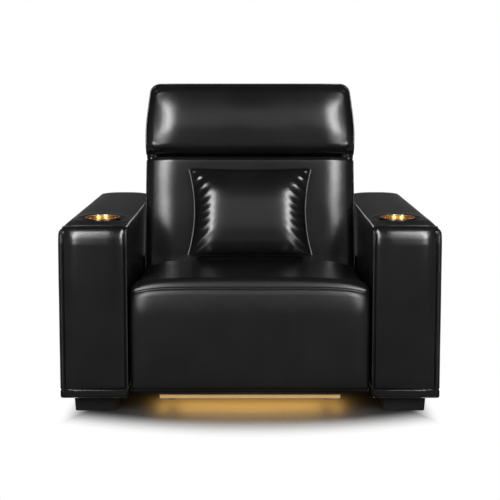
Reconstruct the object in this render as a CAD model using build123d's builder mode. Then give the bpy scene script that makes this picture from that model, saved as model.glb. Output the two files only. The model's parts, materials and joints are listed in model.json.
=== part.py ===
from build123d import *
import os
from math import cos, hypot, radians, sin

# Power cinema recliner: two padded arms on feet, a seat box slung between them,
# a hinged legrest, a reclining back and a tilting headrest.
# Millimetres. The sitter faces -Y, +Z is up, the origin is on the floor midway.
# "right" and "left" are the sitter's own: right is -X.

os.makedirs("parts", exist_ok=True)

# ---------------------------------------------------------------- overall sizes
WIDTH = 1120.0
DEPTH = 860.0
ARM_WIDTH = 200.0
ARM_SHOULDER = 557.0       # height of the arm's long top edges
ARM_CROWN = 8.0            # rise of the padded top between them
ARM_TOP_ROUND = 20.0
ARM_FOOT_ROUND = 14.0
ARM_END_ROUND = 11.0
FOOT_HEIGHT = 47.0
FOOT_WIDTH = 127.0
FOOT_LENGTH = 130.0
FOOT_SETBACK = 30.0
FOOT_TAPER = 3.0
FOOT_ROUND = 5.0

# clearances
SEAT_FIT = 0.3             # pieces that sit against each other
SIDE_GAP = 6.0             # cushions to the arms
PIN_FIT = 0.1              # turning pins, on the radius

# arm construction
ARM_PAD = 12.0             # foam and leather on the sides of the arm frame
ARM_TOP_PAD = 27.0
BOARD = 15.0               # plywood of the arm frame
WINDOW_LENGTH = 200.0
WINDOW_HEIGHT = 300.0
WINDOW_ROUND = 30.0
WINDOW_PITCH = 255.0
WINDOW_Z = 290.0

# cup holders
CUP_BORE_RADIUS = 49.0
CUP_DEPTH = 85.0
CUP_WALL = 1.5
CUP_FLOOR_ROUND = 8.0
CUP_INSET = 12.0           # cup centre, inwards from the middle of the arm
CUP_SETBACK = 140.0        # cup centre, behind the front
BEZEL_RADIUS = 57.0
BEZEL_HEIGHT = 7.0
BEZEL_SINK = 5.0           # depth of its seat below the arm's crown
LIP_WIDTH = 4.0
LIP_HEIGHT = 1.5

# cross tubes
TUBE = 40.0
TUBE_WALL = 3.0
FLANGE_WIDTH = 90.0
FLANGE_THICK = 6.0
FRONT_TUBE_SETBACK = 150.0 # from the front
FRONT_TUBE_Z = 210.0
REAR_TUBE_SETBACK = 355.0  # from the rear
REAR_TUBE_Z = 115.0

# seat mechanism
HINGE_Z = 355.0                # legrest hinge, on the axis of the seat's rounded nose
BACK_HINGE_REACH = 126.0       # back hinge, behind the foot of the back's face
BACK_HINGE_DROP = 45.0         # and below it
PLATE_INSET = 64.0             # inner face of the side plates, from the arms
PLATE_THICK = 6.0
PLATE_TOP = 280.0
PLATE_GAP = 2.0                # between a side plate and the hinge arm beside it
PLATE_ARCH = 228.0             # height of the arch under the seat
PLATE_BOSS = 16.0
BACK_BOSS = 20.0
HINGE_PIN_RADIUS = 6.0
BACK_PIN_RADIUS = 7.0
LEG_MARGIN = 10.0              # steel left round a cross tube

# seat
NOSE_RADIUS = 45.0
SEAT_REAR_SPACE = 410.0        # from the seat's rear edge to the rear of the arms
SEAT_DROP = 15.0               # fall of the seat's top towards the back
SEAT_CROWN_DROP = 60.0         # fall of the seat's top at its sides
SEAT_CROWN_WIDTH = 140.0
SEAT_CROWN_MID = (95.2, 21.6)  # width and fall of the crown midway along its curve
RAIL_TOP = 300.0
RAIL_HEIGHT = 20.0
RAIL_DEPTH = 25.0
SIDE_RAIL_WIDTH = 26.0
SIDE_RAIL_HEIGHT = 38.0
RAIL_SETBACK = 108.0           # front rail, from the front
RAIL_OVERHANG = 20.0           # rear rail, behind the cushion
SPRING_WIRE = 2.0              # radius
SPRING_COUNT = 4
SPRING_PITCH = 120.0
SPRING_BARS = 9
SPRING_WIDTH = 44.0
SPRING_BEND = 15.0

# legrest
PAD_THICK = 46.0
PAD_LIP_DROP = 25.0            # top of the pad below the hinge
PAD_CLEAR = 12.0               # bottom of the pad above the feet
PAD_ROUND = 18.0
PAD_SWING_GAP = 3.0            # between the nose and the pad's hollow upper edge
LEG_BOARD = 12.0
LEG_BOARD_INSET = 14.0
LEG_BOARD_DROP = 52.0          # top of the board below the hinge
LEG_BOARD_EDGE = 6.0
HINGE_ARM_THICK = 6.0
HINGE_ARM_WIDTH = 30.0
HINGE_ARM_FOOT_Z = 110.0
HINGE_ARM_FLANGE = 28.0
SHEET = 4.0                    # thickness of folded brackets

# back, measured along its slope (s) and square to it (t, rearwards)
BACK_LEAN = 11.0
BACK_GAP = 8.0                 # foot of the back's face behind the seat
BACK_FOOT_Z = 330.0
BACK_HEIGHT = 401.0
BACK_THICK = 111.7
BACK_ROUND = 24.0
UPRIGHT_WIDTH = 30.0
UPRIGHT_DEPTH = 40.0
LOWER_RAIL_S = 20.0
LOWER_RAIL = 30.0
UPPER_RAIL_HEIGHT = 60.0
UPPER_RAIL_THICK = 12.0
SHELL_WALL = 8.0
SHELL_ROUND = 16.0
SHELL_DROP = 10.0

# headrest
HEAD_GAP = 5.0
HEAD_PROUD = 28.0              # how far it stands in front of the back
HEAD_ROLL = 42.0               # radius of its lower edge, round its hinge
HEAD_HEIGHT = 246.0
HEAD_PAD_T = 61.7
HEAD_TOP_T = 12.0
HEAD_ROUND = 18.0
HEAD_PLATE = 12.0
HEAD_PLATE_INSET = 34.0
HEAD_PLATE_RISE = 56.0         # foot of the plate above the headrest's lower edge
HEAD_ARM_INSET = 100.0
HEAD_BOSS = 15.0
HEAD_SHELL_TOP_T = 84.0

# lumbar pillow
PILLOW_WIDTH = 404.0
PILLOW_HEIGHT = 287.0
PILLOW_REAR = 34.0
PILLOW_FRONT = 66.0
PILLOW_S = 70.0
PILLOW_TAPER = 38.0
PILLOW_CORNER = 30.0

# linear actuators
EYE_RADIUS = 14.0
EYE_THICK = 20.0
EYE_NECK = 19.6
GEARBOX_LENGTH = 50.0
GEARBOX = 40.0
RAIL_RADIUS = 14.0
ROD_RADIUS = 8.0
ROD_FIT = 0.4
ROD_EYE_RADIUS = 12.0
ROD_EYE_THICK = 18.0
MOTOR_RADIUS = 19.0
MOTOR_LENGTH = 80.0
MOTOR_PIN_RADIUS = 6.0
LUG_THICK = 6.0
LUG_GAP = 2.0                  # at the open pivot between rod eye and lug
LEG_DRIVE_X = -110.0
LEG_DRIVE_RISE = 45.0          # fixed eye above the rear tube's axis
LEG_LUG_REACH = 35.0           # moving eye behind the legrest board
LEG_LUG_DROP = 82.0            # and below the hinge
LEG_RAIL_LENGTH = 270.0
LEG_ROD_START = 87.2           # inner end of the rod, from the fixed eye
BACK_DRIVE_X = 110.0
BACK_DRIVE_REACH = 48.0        # fixed eye behind the front tube's axis
BACK_DRIVE_DROP = 5.0
BACK_LUG_REACH = 10.0          # moving eye behind the back hinge
BACK_LUG_DROP = 95.0
BACK_RAIL_LENGTH = 280.0
BACK_ROD_START = 196.3
HEAD_DRIVE_X = 0.0
HEAD_DRIVE_RISE = 16.0         # fixed eye above the lower rail
HEAD_DRIVE_SETBACK = 2.0       # drive behind the uprights' middle, clear of the cushion
HEAD_FORK_EDGE = 6.0
HEAD_LUG_RISE = 24.0           # moving eye above the headrest's lower edge
HEAD_RAIL_LENGTH = 230.0
HEAD_ROD_START = 94.0

# switch in the outer face of the sitter's right arm
SWITCH_SETBACK = 175.0
SWITCH_Z = 395.0
SWITCH_LENGTH = 84.0
SWITCH_HEIGHT = 46.0
SWITCH_DEPTH = 24.0
SWITCH_ROUND = 8.0
BUTTON_LENGTH = 34.0
BUTTON_HEIGHT = 14.0
BUTTON_PITCH_Y = 38.0
BUTTON_PITCH_Z = 19.0
BUTTON_TRAVEL = 2.5
BUTTON_DEPTH = 9.0
BUTTON_FIT = 0.4

# rear panel, control box, inlet
PANEL_THICK = 20.0
PANEL_TOP_Z = 330.0
PANEL_BOTTOM_Z = 60.0
PANEL_SETBACK = 15.0
INLET_INSET = 110.0
INLET_Z = 110.0
INLET_RADIUS = 9.0
INLET_BORE = 3.0
CONTROL_LENGTH = 150.0
CONTROL_DEPTH = 80.0
CONTROL_HEIGHT = 36.0

# light bar under the front edge
LIGHT_LENGTH = 540.0
LIGHT_SETBACK = 45.0
LIGHT_Z = 42.0
LIGHT_DEPTH = 16.0
LIGHT_HEIGHT = 12.0
LIGHT_WALL = 1.5
LIGHT_HANGER_INSET = 50.0      # from the ends of the light bar
LIGHT_HANGER_WIDTH = 24.0

BOLT_RADIUS = 4.0
BOLT_HEAD_RADIUS = 7.5
BOLT_HEAD = 5.0
BOLT_INSET = 12.0

# ---------------------------------------------------------------- worked out
INNER_X = WIDTH / 2 - ARM_WIDTH
ARM_X = WIDTH / 2 - ARM_WIDTH / 2
FRONT_Y = -DEPTH / 2
REAR_Y = DEPTH / 2
CUSHION_X = INNER_X - SIDE_GAP
SEAT_REAR_Y = REAR_Y - SEAT_REAR_SPACE
CUP_X = ARM_X - CUP_INSET
CUP_Y = FRONT_Y + CUP_SETBACK
FRONT_TUBE_YZ = (FRONT_Y + FRONT_TUBE_SETBACK, FRONT_TUBE_Z)
REAR_TUBE_YZ = (REAR_Y - REAR_TUBE_SETBACK, REAR_TUBE_Z)
HINGE_YZ = (FRONT_Y + NOSE_RADIUS, HINGE_Z)
BACK_FOOT_YZ = (SEAT_REAR_Y + BACK_GAP, BACK_FOOT_Z)
BACK_HINGE_YZ = (BACK_FOOT_YZ[0] + BACK_HINGE_REACH, BACK_FOOT_Z - BACK_HINGE_DROP)
PLATE_X = INNER_X - PLATE_INSET
UPRIGHT_X = PLATE_X + PLATE_THICK + PLATE_GAP
RAIL_FRONT_Y = FRONT_Y + RAIL_SETBACK
RAIL_REAR_Y = SEAT_REAR_Y + RAIL_OVERHANG
PAD_LIP_Z = HINGE_Z - PAD_LIP_DROP
PAD_BOTTOM_Z = FOOT_HEIGHT + PAD_CLEAR
LEG_BOARD_WIDTH = 2 * (CUSHION_X - LEG_BOARD_INSET)
LEG_BOARD_TOP_Z = HINGE_Z - LEG_BOARD_DROP
LEG_BOARD_BOTTOM_Z = PAD_BOTTOM_Z + LEG_BOARD_EDGE
UPRIGHT_T = BACK_THICK + SEAT_FIT
RAIL_T = UPRIGHT_T + UPRIGHT_DEPTH / 2
SHELL_T = UPRIGHT_T + UPRIGHT_DEPTH + UPPER_RAIL_THICK + PLATE_GAP
SWITCH_YZ = (FRONT_Y + SWITCH_SETBACK, SWITCH_Z)
PANEL_REAR_Y = REAR_Y - PANEL_SETBACK
INLET_XZ = (INLET_INSET - INNER_X, INLET_Z)
LIGHT_YZ = (FRONT_Y + LIGHT_SETBACK, LIGHT_Z)
LIGHT_HANGER_X = LIGHT_LENGTH / 2 - LIGHT_HANGER_INSET
LIGHT_HANGER_Y = FRONT_TUBE_YZ[0] - TUBE / 2 - SHEET / 2
ARM_TOP = ARM_SHOULDER + ARM_CROWN
CAVITY_TOP = ARM_SHOULDER - ARM_TOP_PAD
FRAME_TOP = CAVITY_TOP - SEAT_FIT
FRAME_WIDTH = ARM_WIDTH - 2 * (ARM_PAD + SEAT_FIT)
FRAME_DEPTH = DEPTH - 2 * (ARM_PAD + SEAT_FIT)
LINER_RADIUS = CUP_BORE_RADIUS + CUP_WALL
BEZEL_SEAT_Z = ARM_TOP - BEZEL_SINK
BEZEL_TOP_Z = BEZEL_SEAT_Z + BEZEL_HEIGHT
HINGE_ARM_X = PLATE_X - PLATE_GAP - HINGE_ARM_THICK
SLOT_X = HINGE_ARM_X - PLATE_GAP
SLOT_WIDTH = PLATE_THICK + HINGE_ARM_THICK + 3 * PLATE_GAP
PAD_REAR_Y = FRONT_Y + PAD_THICK
BOARD_REAR_Y = PAD_REAR_Y + LEG_BOARD
SEAT_TOP = HINGE_Z + NOSE_RADIUS
CUSHION_BOTTOM = RAIL_TOP + 2 * SPRING_WIRE + SEAT_FIT
HEAD_HINGE_ST = (BACK_HEIGHT + HEAD_GAP + HEAD_ROLL, HEAD_ROLL - HEAD_PROUD)
HEAD_BASE_S = BACK_HEIGHT + HEAD_GAP
HEAD_TOP_S = HEAD_BASE_S + HEAD_HEIGHT
HEAD_REAR_T = SHELL_T + SHELL_WALL
HEAD_PLATE_WIDTH = 2 * (CUSHION_X - HEAD_PLATE_INSET)
HEAD_PLATE_S = HEAD_BASE_S + HEAD_PLATE_RISE
HEAD_ARM_X = CUSHION_X - HEAD_ARM_INSET
HEAD_BRACKET_X = HEAD_ARM_X + PLATE_THICK + PLATE_GAP
HEAD_SLOT_X = HEAD_ARM_X - 2 * PLATE_GAP
HEAD_SLOT_WIDTH = 2 * PLATE_THICK + 5 * PLATE_GAP
LEG_DRIVE_YZ = (REAR_TUBE_YZ[0], REAR_TUBE_Z + LEG_DRIVE_RISE)
LEG_LUG_YZ = (BOARD_REAR_Y + LEG_LUG_REACH, HINGE_Z - LEG_LUG_DROP)
BACK_DRIVE_YZ = (FRONT_TUBE_YZ[0] + BACK_DRIVE_REACH, FRONT_TUBE_Z - BACK_DRIVE_DROP)
BACK_LUG_YZ = (BACK_HINGE_YZ[0] + BACK_LUG_REACH, BACK_HINGE_YZ[1] - BACK_LUG_DROP)
HEAD_DRIVE_T = RAIL_T + HEAD_DRIVE_SETBACK
HEAD_DRIVE_ST = (LOWER_RAIL_S + LOWER_RAIL + HEAD_DRIVE_RISE, HEAD_DRIVE_T)
HEAD_LUG_ST = (HEAD_BASE_S + HEAD_LUG_RISE, HEAD_DRIVE_T)
SLOPE = radians(BACK_LEAN)
SIDES = ((-1, "right"), (1, "left"))


def on_back(s, t):
    """Y and Z of a point s up the slope of the back and t behind its face."""
    foot_y, foot_z = BACK_FOOT_YZ
    return (foot_y + s * sin(SLOPE) + t * cos(SLOPE), foot_z + s * cos(SLOPE) - t * sin(SLOPE))


def save(block, name):
    block.part.label = name
    export_step(block.part, f"parts/{name}.step")


def side_plane(side, inner):
    """Plane across the chair at the inner face of a piece on one side."""
    return Plane.YZ.offset(side * inner)


def back_plane(t):
    """Plane parallel to the face of the back, t behind it, X across and Y up the slope."""
    y, z = on_back(0, t)
    return Plane(origin=(0, y, z), x_dir=(1, 0, 0), z_dir=(0, -cos(SLOPE), sin(SLOPE)))


# ---------------------------------------------------------------- arms and feet
def arm_frame(side, hand):
    with BuildPart() as frame:
        with BuildSketch(Plane.XY.offset(FOOT_HEIGHT)):
            with Locations((side * ARM_X, 0)):
                Rectangle(FRAME_WIDTH, FRAME_DEPTH)
        extrude(amount=FRAME_TOP - FOOT_HEIGHT)
        with BuildSketch(Plane.XY.offset(FOOT_HEIGHT + BOARD)):
            with Locations((side * ARM_X, 0)):
                Rectangle(FRAME_WIDTH - 2 * BOARD, FRAME_DEPTH - 2 * BOARD)
        extrude(amount=FRAME_TOP - FOOT_HEIGHT - 2 * BOARD, mode=Mode.SUBTRACT)
        with BuildSketch(side_plane(side, ARM_X)):
            with Locations(*[(row * WINDOW_PITCH, WINDOW_Z) for row in (-1, 0, 1)]):
                RectangleRounded(WINDOW_LENGTH, WINDOW_HEIGHT, WINDOW_ROUND)
        extrude(amount=ARM_WIDTH / 2, both=True, mode=Mode.SUBTRACT)
        with BuildSketch(Plane.XY.offset(FRAME_TOP)):
            with Locations((side * CUP_X, CUP_Y)):
                Circle(LINER_RADIUS + PLATE_GAP)
        extrude(amount=-2 * BOARD, mode=Mode.SUBTRACT)
    save(frame, f"{hand}_arm_frame")


def arm_cover(side, hand):
    inner, outer, middle = side * INNER_X, side * WIDTH / 2, side * ARM_X
    with BuildPart() as cover:
        with BuildSketch(Plane.XZ.offset(-FRONT_Y)) as section:
            with BuildLine():
                Polyline((inner, ARM_SHOULDER), (inner, FOOT_HEIGHT), (outer, FOOT_HEIGHT),
                         (outer, ARM_SHOULDER))
                ThreePointArc((inner, ARM_SHOULDER), (middle, ARM_TOP), (outer, ARM_SHOULDER))
            make_face()
            corners = section.vertices().group_by(Axis.Y)
            fillet(corners[-1], ARM_TOP_ROUND)
        extrude(amount=-DEPTH)
        lower = cover.edges().filter_by(Axis.Y).group_by(Axis.Z)[0]
        fillet(lower, ARM_FOOT_ROUND)
        ends = cover.faces().sort_by(Axis.Y)
        fillet(ends[0].edges() + ends[-1].edges(), ARM_END_ROUND)
        with BuildSketch(Plane.XY.offset(CAVITY_TOP)):
            with Locations((middle, 0)):
                Rectangle(ARM_WIDTH - 2 * ARM_PAD, DEPTH - 2 * ARM_PAD)
        extrude(amount=-CAVITY_TOP, mode=Mode.SUBTRACT)
        with BuildSketch(Plane.XY.offset(BEZEL_SEAT_Z)):
            with Locations((side * CUP_X, CUP_Y)):
                Circle(BEZEL_RADIUS + SEAT_FIT)
        extrude(amount=BEZEL_HEIGHT + ARM_CROWN, mode=Mode.SUBTRACT)
        with BuildSketch(Plane.XY.offset(BEZEL_SEAT_Z)):
            with Locations((side * CUP_X, CUP_Y)):
                Circle(LINER_RADIUS + SEAT_FIT)
        extrude(amount=-2 * ARM_TOP_PAD, mode=Mode.SUBTRACT)
        if hand == "right":
            with BuildSketch(side_plane(side, WIDTH / 2)):
                with Locations(SWITCH_YZ):
                    RectangleRounded(SWITCH_LENGTH + 2 * SEAT_FIT, SWITCH_HEIGHT + 2 * SEAT_FIT,
                                     SWITCH_ROUND)
            extrude(amount=-side * 2 * ARM_PAD, mode=Mode.SUBTRACT)
    save(cover, f"{hand}_arm_cover")


def foot(side, hand, end, place):
    middle_y = end * (REAR_Y - FOOT_SETBACK - FOOT_LENGTH / 2)
    with BuildPart() as block:
        with BuildSketch(Plane.XY):
            with Locations((side * ARM_X, middle_y)):
                RectangleRounded(FOOT_WIDTH - 2 * FOOT_TAPER, FOOT_LENGTH - 2 * FOOT_TAPER,
                                 FOOT_ROUND)
        with BuildSketch(Plane.XY.offset(FOOT_HEIGHT)):
            with Locations((side * ARM_X, middle_y)):
                RectangleRounded(FOOT_WIDTH, FOOT_LENGTH, FOOT_ROUND)
        loft()
        chamfer(block.faces().sort_by(Axis.Z)[0].edges(), FOOT_TAPER / 2)
    save(block, f"{place}_{hand}_foot")


def cup_liner(side, hand):
    middle = side * CUP_X
    centre = Axis((middle, CUP_Y, 0), (0, 0, 1))
    top = BEZEL_TOP_Z + LIP_HEIGHT
    floor = top - CUP_DEPTH
    bore = CUP_BORE_RADIUS
    corner = CUP_FLOOR_ROUND
    with BuildPart() as liner:
        with BuildSketch(Plane.XZ.offset(-CUP_Y)):
            with BuildLine():
                Polyline((middle, floor), (middle + bore - corner, floor),
                         (middle + bore, floor + corner), (middle + bore, top),
                         (middle + bore + LIP_WIDTH, top),
                         (middle + bore + LIP_WIDTH, BEZEL_TOP_Z),
                         (middle + LINER_RADIUS, BEZEL_TOP_Z),
                         (middle + LINER_RADIUS, floor + corner - CUP_WALL / 2),
                         (middle + LINER_RADIUS - corner, floor - CUP_WALL),
                         (middle, floor - CUP_WALL), close=True)
            make_face()
        revolve(axis=centre)
    save(liner, f"{hand}_cup_liner")


def cup_bezel(side, hand):
    with BuildPart() as bezel:
        with BuildSketch(Plane.XY.offset(BEZEL_SEAT_Z)):
            with Locations((side * CUP_X, CUP_Y)):
                Circle(BEZEL_RADIUS)
                Circle(LINER_RADIUS + SEAT_FIT, mode=Mode.SUBTRACT)
        extrude(amount=BEZEL_HEIGHT)
        rim = bezel.faces().sort_by(Axis.Z)[-1].edges().sort_by(SortBy.RADIUS)[-1]
        fillet(rim, BEZEL_HEIGHT / 3)
    save(bezel, f"{hand}_cup_bezel")


for side, hand in SIDES:
    arm_frame(side, hand)
    arm_cover(side, hand)
    cup_liner(side, hand)
    cup_bezel(side, hand)
    for end, place in ((-1, "front"), (1, "rear")):
        foot(side, hand, end, place)


# ---------------------------------------------------------------- cross tubes
def fork(centre_x, pivot_yz, foot_yz, foot_size):
    """Two upright lugs that carry the fixed eye of an actuator."""
    with BuildPart() as lugs:
        for side, _ in SIDES:
            with BuildSketch(Plane.YZ.offset(centre_x + side * (EYE_THICK / 2 + PLATE_GAP / 4))):
                with Locations(pivot_yz):
                    Circle(EYE_RADIUS)
                with Locations(foot_yz):
                    Rectangle(*foot_size)
                make_hull()
                with Locations(pivot_yz):
                    Circle(MOTOR_PIN_RADIUS + PIN_FIT, mode=Mode.SUBTRACT)
            extrude(amount=side * LUG_THICK)
    return lugs.part


def cross_tube(name, centre_yz, lugs):
    """Square tube from arm to arm with a bolting flange at each end and a motor fork."""
    length = INNER_X - SEAT_FIT - FLANGE_THICK
    with BuildPart() as tube:
        with BuildSketch(Plane.YZ):
            with Locations(centre_yz):
                Rectangle(TUBE, TUBE)
        extrude(amount=length, both=True)
        add(lugs)
        with BuildSketch(Plane.YZ):
            with Locations(centre_yz):
                Rectangle(TUBE - 2 * TUBE_WALL, TUBE - 2 * TUBE_WALL)
        extrude(amount=length, both=True, mode=Mode.SUBTRACT)
        for side, _ in SIDES:
            with BuildSketch(side_plane(side, length)):
                with Locations(centre_yz):
                    RectangleRounded(FLANGE_WIDTH, FLANGE_WIDTH, BOLT_HEAD_RADIUS)
            extrude(amount=side * FLANGE_THICK)
    save(tube, name)


tube_rear = FRONT_TUBE_YZ[0] + TUBE / 2
tube_top = REAR_TUBE_YZ[1] + TUBE / 2
recline_fork = fork(BACK_DRIVE_X, BACK_DRIVE_YZ, (tube_rear, BACK_DRIVE_YZ[1]),
                    (TUBE_WALL, 2 * EYE_RADIUS))
legrest_fork = fork(LEG_DRIVE_X, LEG_DRIVE_YZ, (REAR_TUBE_YZ[0], tube_top), (TUBE, TUBE_WALL))
cross_tube("front_cross_tube", FRONT_TUBE_YZ, recline_fork)
cross_tube("rear_cross_tube", REAR_TUBE_YZ, legrest_fork)

with BuildPart() as motor_pins:
    for centre_x, pivot in ((LEG_DRIVE_X, LEG_DRIVE_YZ), (BACK_DRIVE_X, BACK_DRIVE_YZ)):
        with BuildSketch(Plane.YZ.offset(centre_x)):
            with Locations(pivot):
                Circle(MOTOR_PIN_RADIUS)
        extrude(amount=EYE_THICK / 2 + LUG_THICK + PLATE_GAP, both=True)
save(motor_pins, "motor_pins")


# ---------------------------------------------------------------- side plates
def side_plate(side, hand):
    hinge_y, hinge_z = HINGE_YZ
    back_y, back_z = BACK_HINGE_YZ
    front_y, front_z = FRONT_TUBE_YZ
    rear_y, rear_z = REAR_TUBE_YZ
    half = TUBE / 2 + LEG_MARGIN
    neck_y = BOARD_REAR_Y + HINGE_ARM_WIDTH / 2
    with BuildPart() as plate:
        with BuildSketch(side_plane(side, PLATE_X)) as profile:
            with BuildLine():
                Polyline((neck_y, PLATE_TOP), (front_y - half, front_z - half),
                         (front_y + half, front_z - half), (front_y + 2 * half, PLATE_ARCH),
                         (rear_y - 2 * half, PLATE_ARCH), (rear_y - half, rear_z + half),
                         (rear_y - half, rear_z - half), (rear_y + half, rear_z - half),
                         (rear_y + half, rear_z + half), (back_y, back_z - BACK_BOSS),
                         (back_y, back_z + BACK_BOSS / 2), (rear_y, PLATE_TOP), close=True)
            make_face()
            fillet(profile.vertices(), LEG_MARGIN)
            with BuildLine():
                Polyline((hinge_y, hinge_z + PLATE_BOSS), (RAIL_FRONT_Y - PLATE_GAP, PLATE_TOP),
                         (neck_y, PLATE_TOP - LEG_MARGIN), (neck_y, PLATE_TOP),
                         (hinge_y - PLATE_BOSS, hinge_z), close=True)
            make_face()
            with Locations(HINGE_YZ):
                Circle(PLATE_BOSS)
            with Locations(BACK_HINGE_YZ):
                Circle(BACK_BOSS)
            with Locations(HINGE_YZ):
                Circle(HINGE_PIN_RADIUS, mode=Mode.SUBTRACT)
            with Locations(BACK_HINGE_YZ):
                Circle(BACK_PIN_RADIUS, mode=Mode.SUBTRACT)
            with Locations(FRONT_TUBE_YZ, REAR_TUBE_YZ):
                Rectangle(TUBE + SEAT_FIT, TUBE + SEAT_FIT, mode=Mode.SUBTRACT)
            with Locations(((front_y + rear_y) / 2, (PLATE_TOP + PLATE_ARCH) / 2)):
                SlotOverall(FLANGE_WIDTH, LEG_MARGIN * 2, mode=Mode.SUBTRACT)
        extrude(amount=side * PLATE_THICK)
    save(plate, f"{hand}_side_plate")


def hinge_arm(side, hand):
    knee = (BOARD_REAR_Y + HINGE_ARM_WIDTH / 2, LEG_BOARD_TOP_Z + HINGE_ARM_WIDTH / 2)
    ankle = (knee[0], HINGE_ARM_FOOT_Z + HINGE_ARM_WIDTH / 2)
    with BuildPart() as arm:
        with BuildSketch(side_plane(side, HINGE_ARM_X)):
            with Locations(HINGE_YZ):
                Circle(PLATE_BOSS - PLATE_GAP)
            with Locations(knee):
                Circle(HINGE_ARM_WIDTH / 2)
            make_hull()
            with Locations((knee[0], (knee[1] + ankle[1]) / 2)):
                SlotCenterToCenter(knee[1] - ankle[1], HINGE_ARM_WIDTH, rotation=90)
            with Locations(HINGE_YZ):
                Circle(HINGE_PIN_RADIUS + PIN_FIT, mode=Mode.SUBTRACT)
        extrude(amount=side * HINGE_ARM_THICK)
        flange_middle = HINGE_ARM_X + SHEET / 2 - HINGE_ARM_FLANGE / 2
        with BuildSketch(Plane.XZ.offset(-BOARD_REAR_Y)):
            with Locations((side * flange_middle, (LEG_BOARD_TOP_Z + HINGE_ARM_FOOT_Z) / 2)):
                RectangleRounded(HINGE_ARM_FLANGE + SHEET,
                                 LEG_BOARD_TOP_Z - HINGE_ARM_FOOT_Z - 1.5 * HINGE_ARM_WIDTH, SHEET)
        extrude(amount=-SHEET)
    save(arm, f"{hand}_legrest_arm")


for side, hand in SIDES:
    side_plate(side, hand)
    hinge_arm(side, hand)

with BuildPart() as legrest_pins:
    for side, _ in SIDES:
        with BuildSketch(side_plane(side, HINGE_ARM_X - PLATE_GAP / 2)):
            with Locations(HINGE_YZ):
                Circle(HINGE_PIN_RADIUS)
        extrude(amount=side * (PLATE_THICK + HINGE_ARM_THICK + 2 * PLATE_GAP))
save(legrest_pins, "legrest_pins")

with BuildPart() as back_pins:
    for side, _ in SIDES:
        with BuildSketch(side_plane(side, PLATE_X - PLATE_GAP)):
            with Locations(BACK_HINGE_YZ):
                Circle(BACK_PIN_RADIUS)
        extrude(amount=side * (UPRIGHT_X + UPRIGHT_WIDTH - PLATE_X + 2 * PLATE_GAP))
save(back_pins, "back_pins")

# ---------------------------------------------------------------- seat
with BuildPart() as seat_frame:
    rail_length = RAIL_REAR_Y - RAIL_FRONT_Y
    side_rail_x = PLATE_X + PLATE_THICK + SIDE_RAIL_WIDTH / 2
    with BuildSketch(Plane.XY.offset(RAIL_TOP)):
        with Locations((-side_rail_x, (RAIL_FRONT_Y + RAIL_REAR_Y) / 2),
                       (side_rail_x, (RAIL_FRONT_Y + RAIL_REAR_Y) / 2)):
            Rectangle(SIDE_RAIL_WIDTH, rail_length)
    extrude(amount=-SIDE_RAIL_HEIGHT)
    with BuildSketch(Plane.XY.offset(RAIL_TOP)):
        with Locations((0, RAIL_FRONT_Y + RAIL_DEPTH / 2), (0, RAIL_REAR_Y - RAIL_DEPTH / 2)):
            Rectangle(2 * side_rail_x, RAIL_DEPTH)
    extrude(amount=-RAIL_HEIGHT)
save(seat_frame, "seat_frame")

with BuildPart() as seat_springs:
    first_y = RAIL_FRONT_Y + RAIL_DEPTH / 2
    bar_pitch = (rail_length - RAIL_DEPTH) / (SPRING_BARS - 1)
    for spring in range(SPRING_COUNT):
        middle_x = (spring - (SPRING_COUNT - 1) / 2) * SPRING_PITCH
        turns = []
        for bar in range(SPRING_BARS):
            reach = SPRING_WIDTH / 2 if bar % 2 else -SPRING_WIDTH / 2
            bar_y = first_y + bar * bar_pitch
            turns.append((middle_x + reach, bar_y, RAIL_TOP + SPRING_WIRE))
            turns.append((middle_x - reach, bar_y, RAIL_TOP + SPRING_WIRE))
        with BuildLine() as wire:
            FilletPolyline(*turns, radius=SPRING_BEND)
        with BuildSketch(Plane(origin=wire.line @ 0, z_dir=wire.line % 0)):
            Circle(SPRING_WIRE)
        sweep(path=wire.line)
save(seat_springs, "seat_springs")

with BuildPart() as seat_cushion:
    hinge_y, hinge_z = HINGE_YZ
    with BuildSketch(Plane.YZ):
        with BuildLine():
            ThreePointArc((hinge_y, hinge_z - NOSE_RADIUS), (hinge_y - NOSE_RADIUS, hinge_z),
                          (hinge_y, hinge_z + NOSE_RADIUS))
            Polyline((hinge_y, hinge_z + NOSE_RADIUS), (SEAT_REAR_Y, SEAT_TOP - SEAT_DROP),
                     (SEAT_REAR_Y, CUSHION_BOTTOM), (hinge_y + NOSE_RADIUS, CUSHION_BOTTOM),
                     (hinge_y, hinge_z - NOSE_RADIUS))
        make_face()
    extrude(amount=CUSHION_X, both=True)
    for side, _ in SIDES:
        shoulder_x = CUSHION_X - SEAT_CROWN_WIDTH
        with BuildSketch(Plane.XZ.offset(-SEAT_REAR_Y - NOSE_RADIUS)):
            with BuildLine():
                ThreePointArc((side * shoulder_x, SEAT_TOP),
                              (side * (shoulder_x + SEAT_CROWN_MID[0]),
                               SEAT_TOP - SEAT_CROWN_MID[1]),
                              (side * CUSHION_X, SEAT_TOP - SEAT_CROWN_DROP))
                Polyline((side * CUSHION_X, SEAT_TOP - SEAT_CROWN_DROP),
                         (side * WIDTH / 2, SEAT_TOP - SEAT_CROWN_DROP),
                         (side * WIDTH / 2, SEAT_TOP + NOSE_RADIUS),
                         (side * shoulder_x, SEAT_TOP + NOSE_RADIUS), (side * shoulder_x, SEAT_TOP))
            make_face()
        extrude(amount=DEPTH, mode=Mode.SUBTRACT)
        with BuildSketch(Plane.XY.offset(hinge_z + PLATE_BOSS + PLATE_GAP)):
            with Locations((side * (SLOT_X + SLOT_WIDTH / 2), hinge_y)):
                Rectangle(SLOT_WIDTH, 2 * (RAIL_FRONT_Y - hinge_y))
        extrude(amount=-2 * NOSE_RADIUS, mode=Mode.SUBTRACT)
save(seat_cushion, "seat_cushion")

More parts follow.
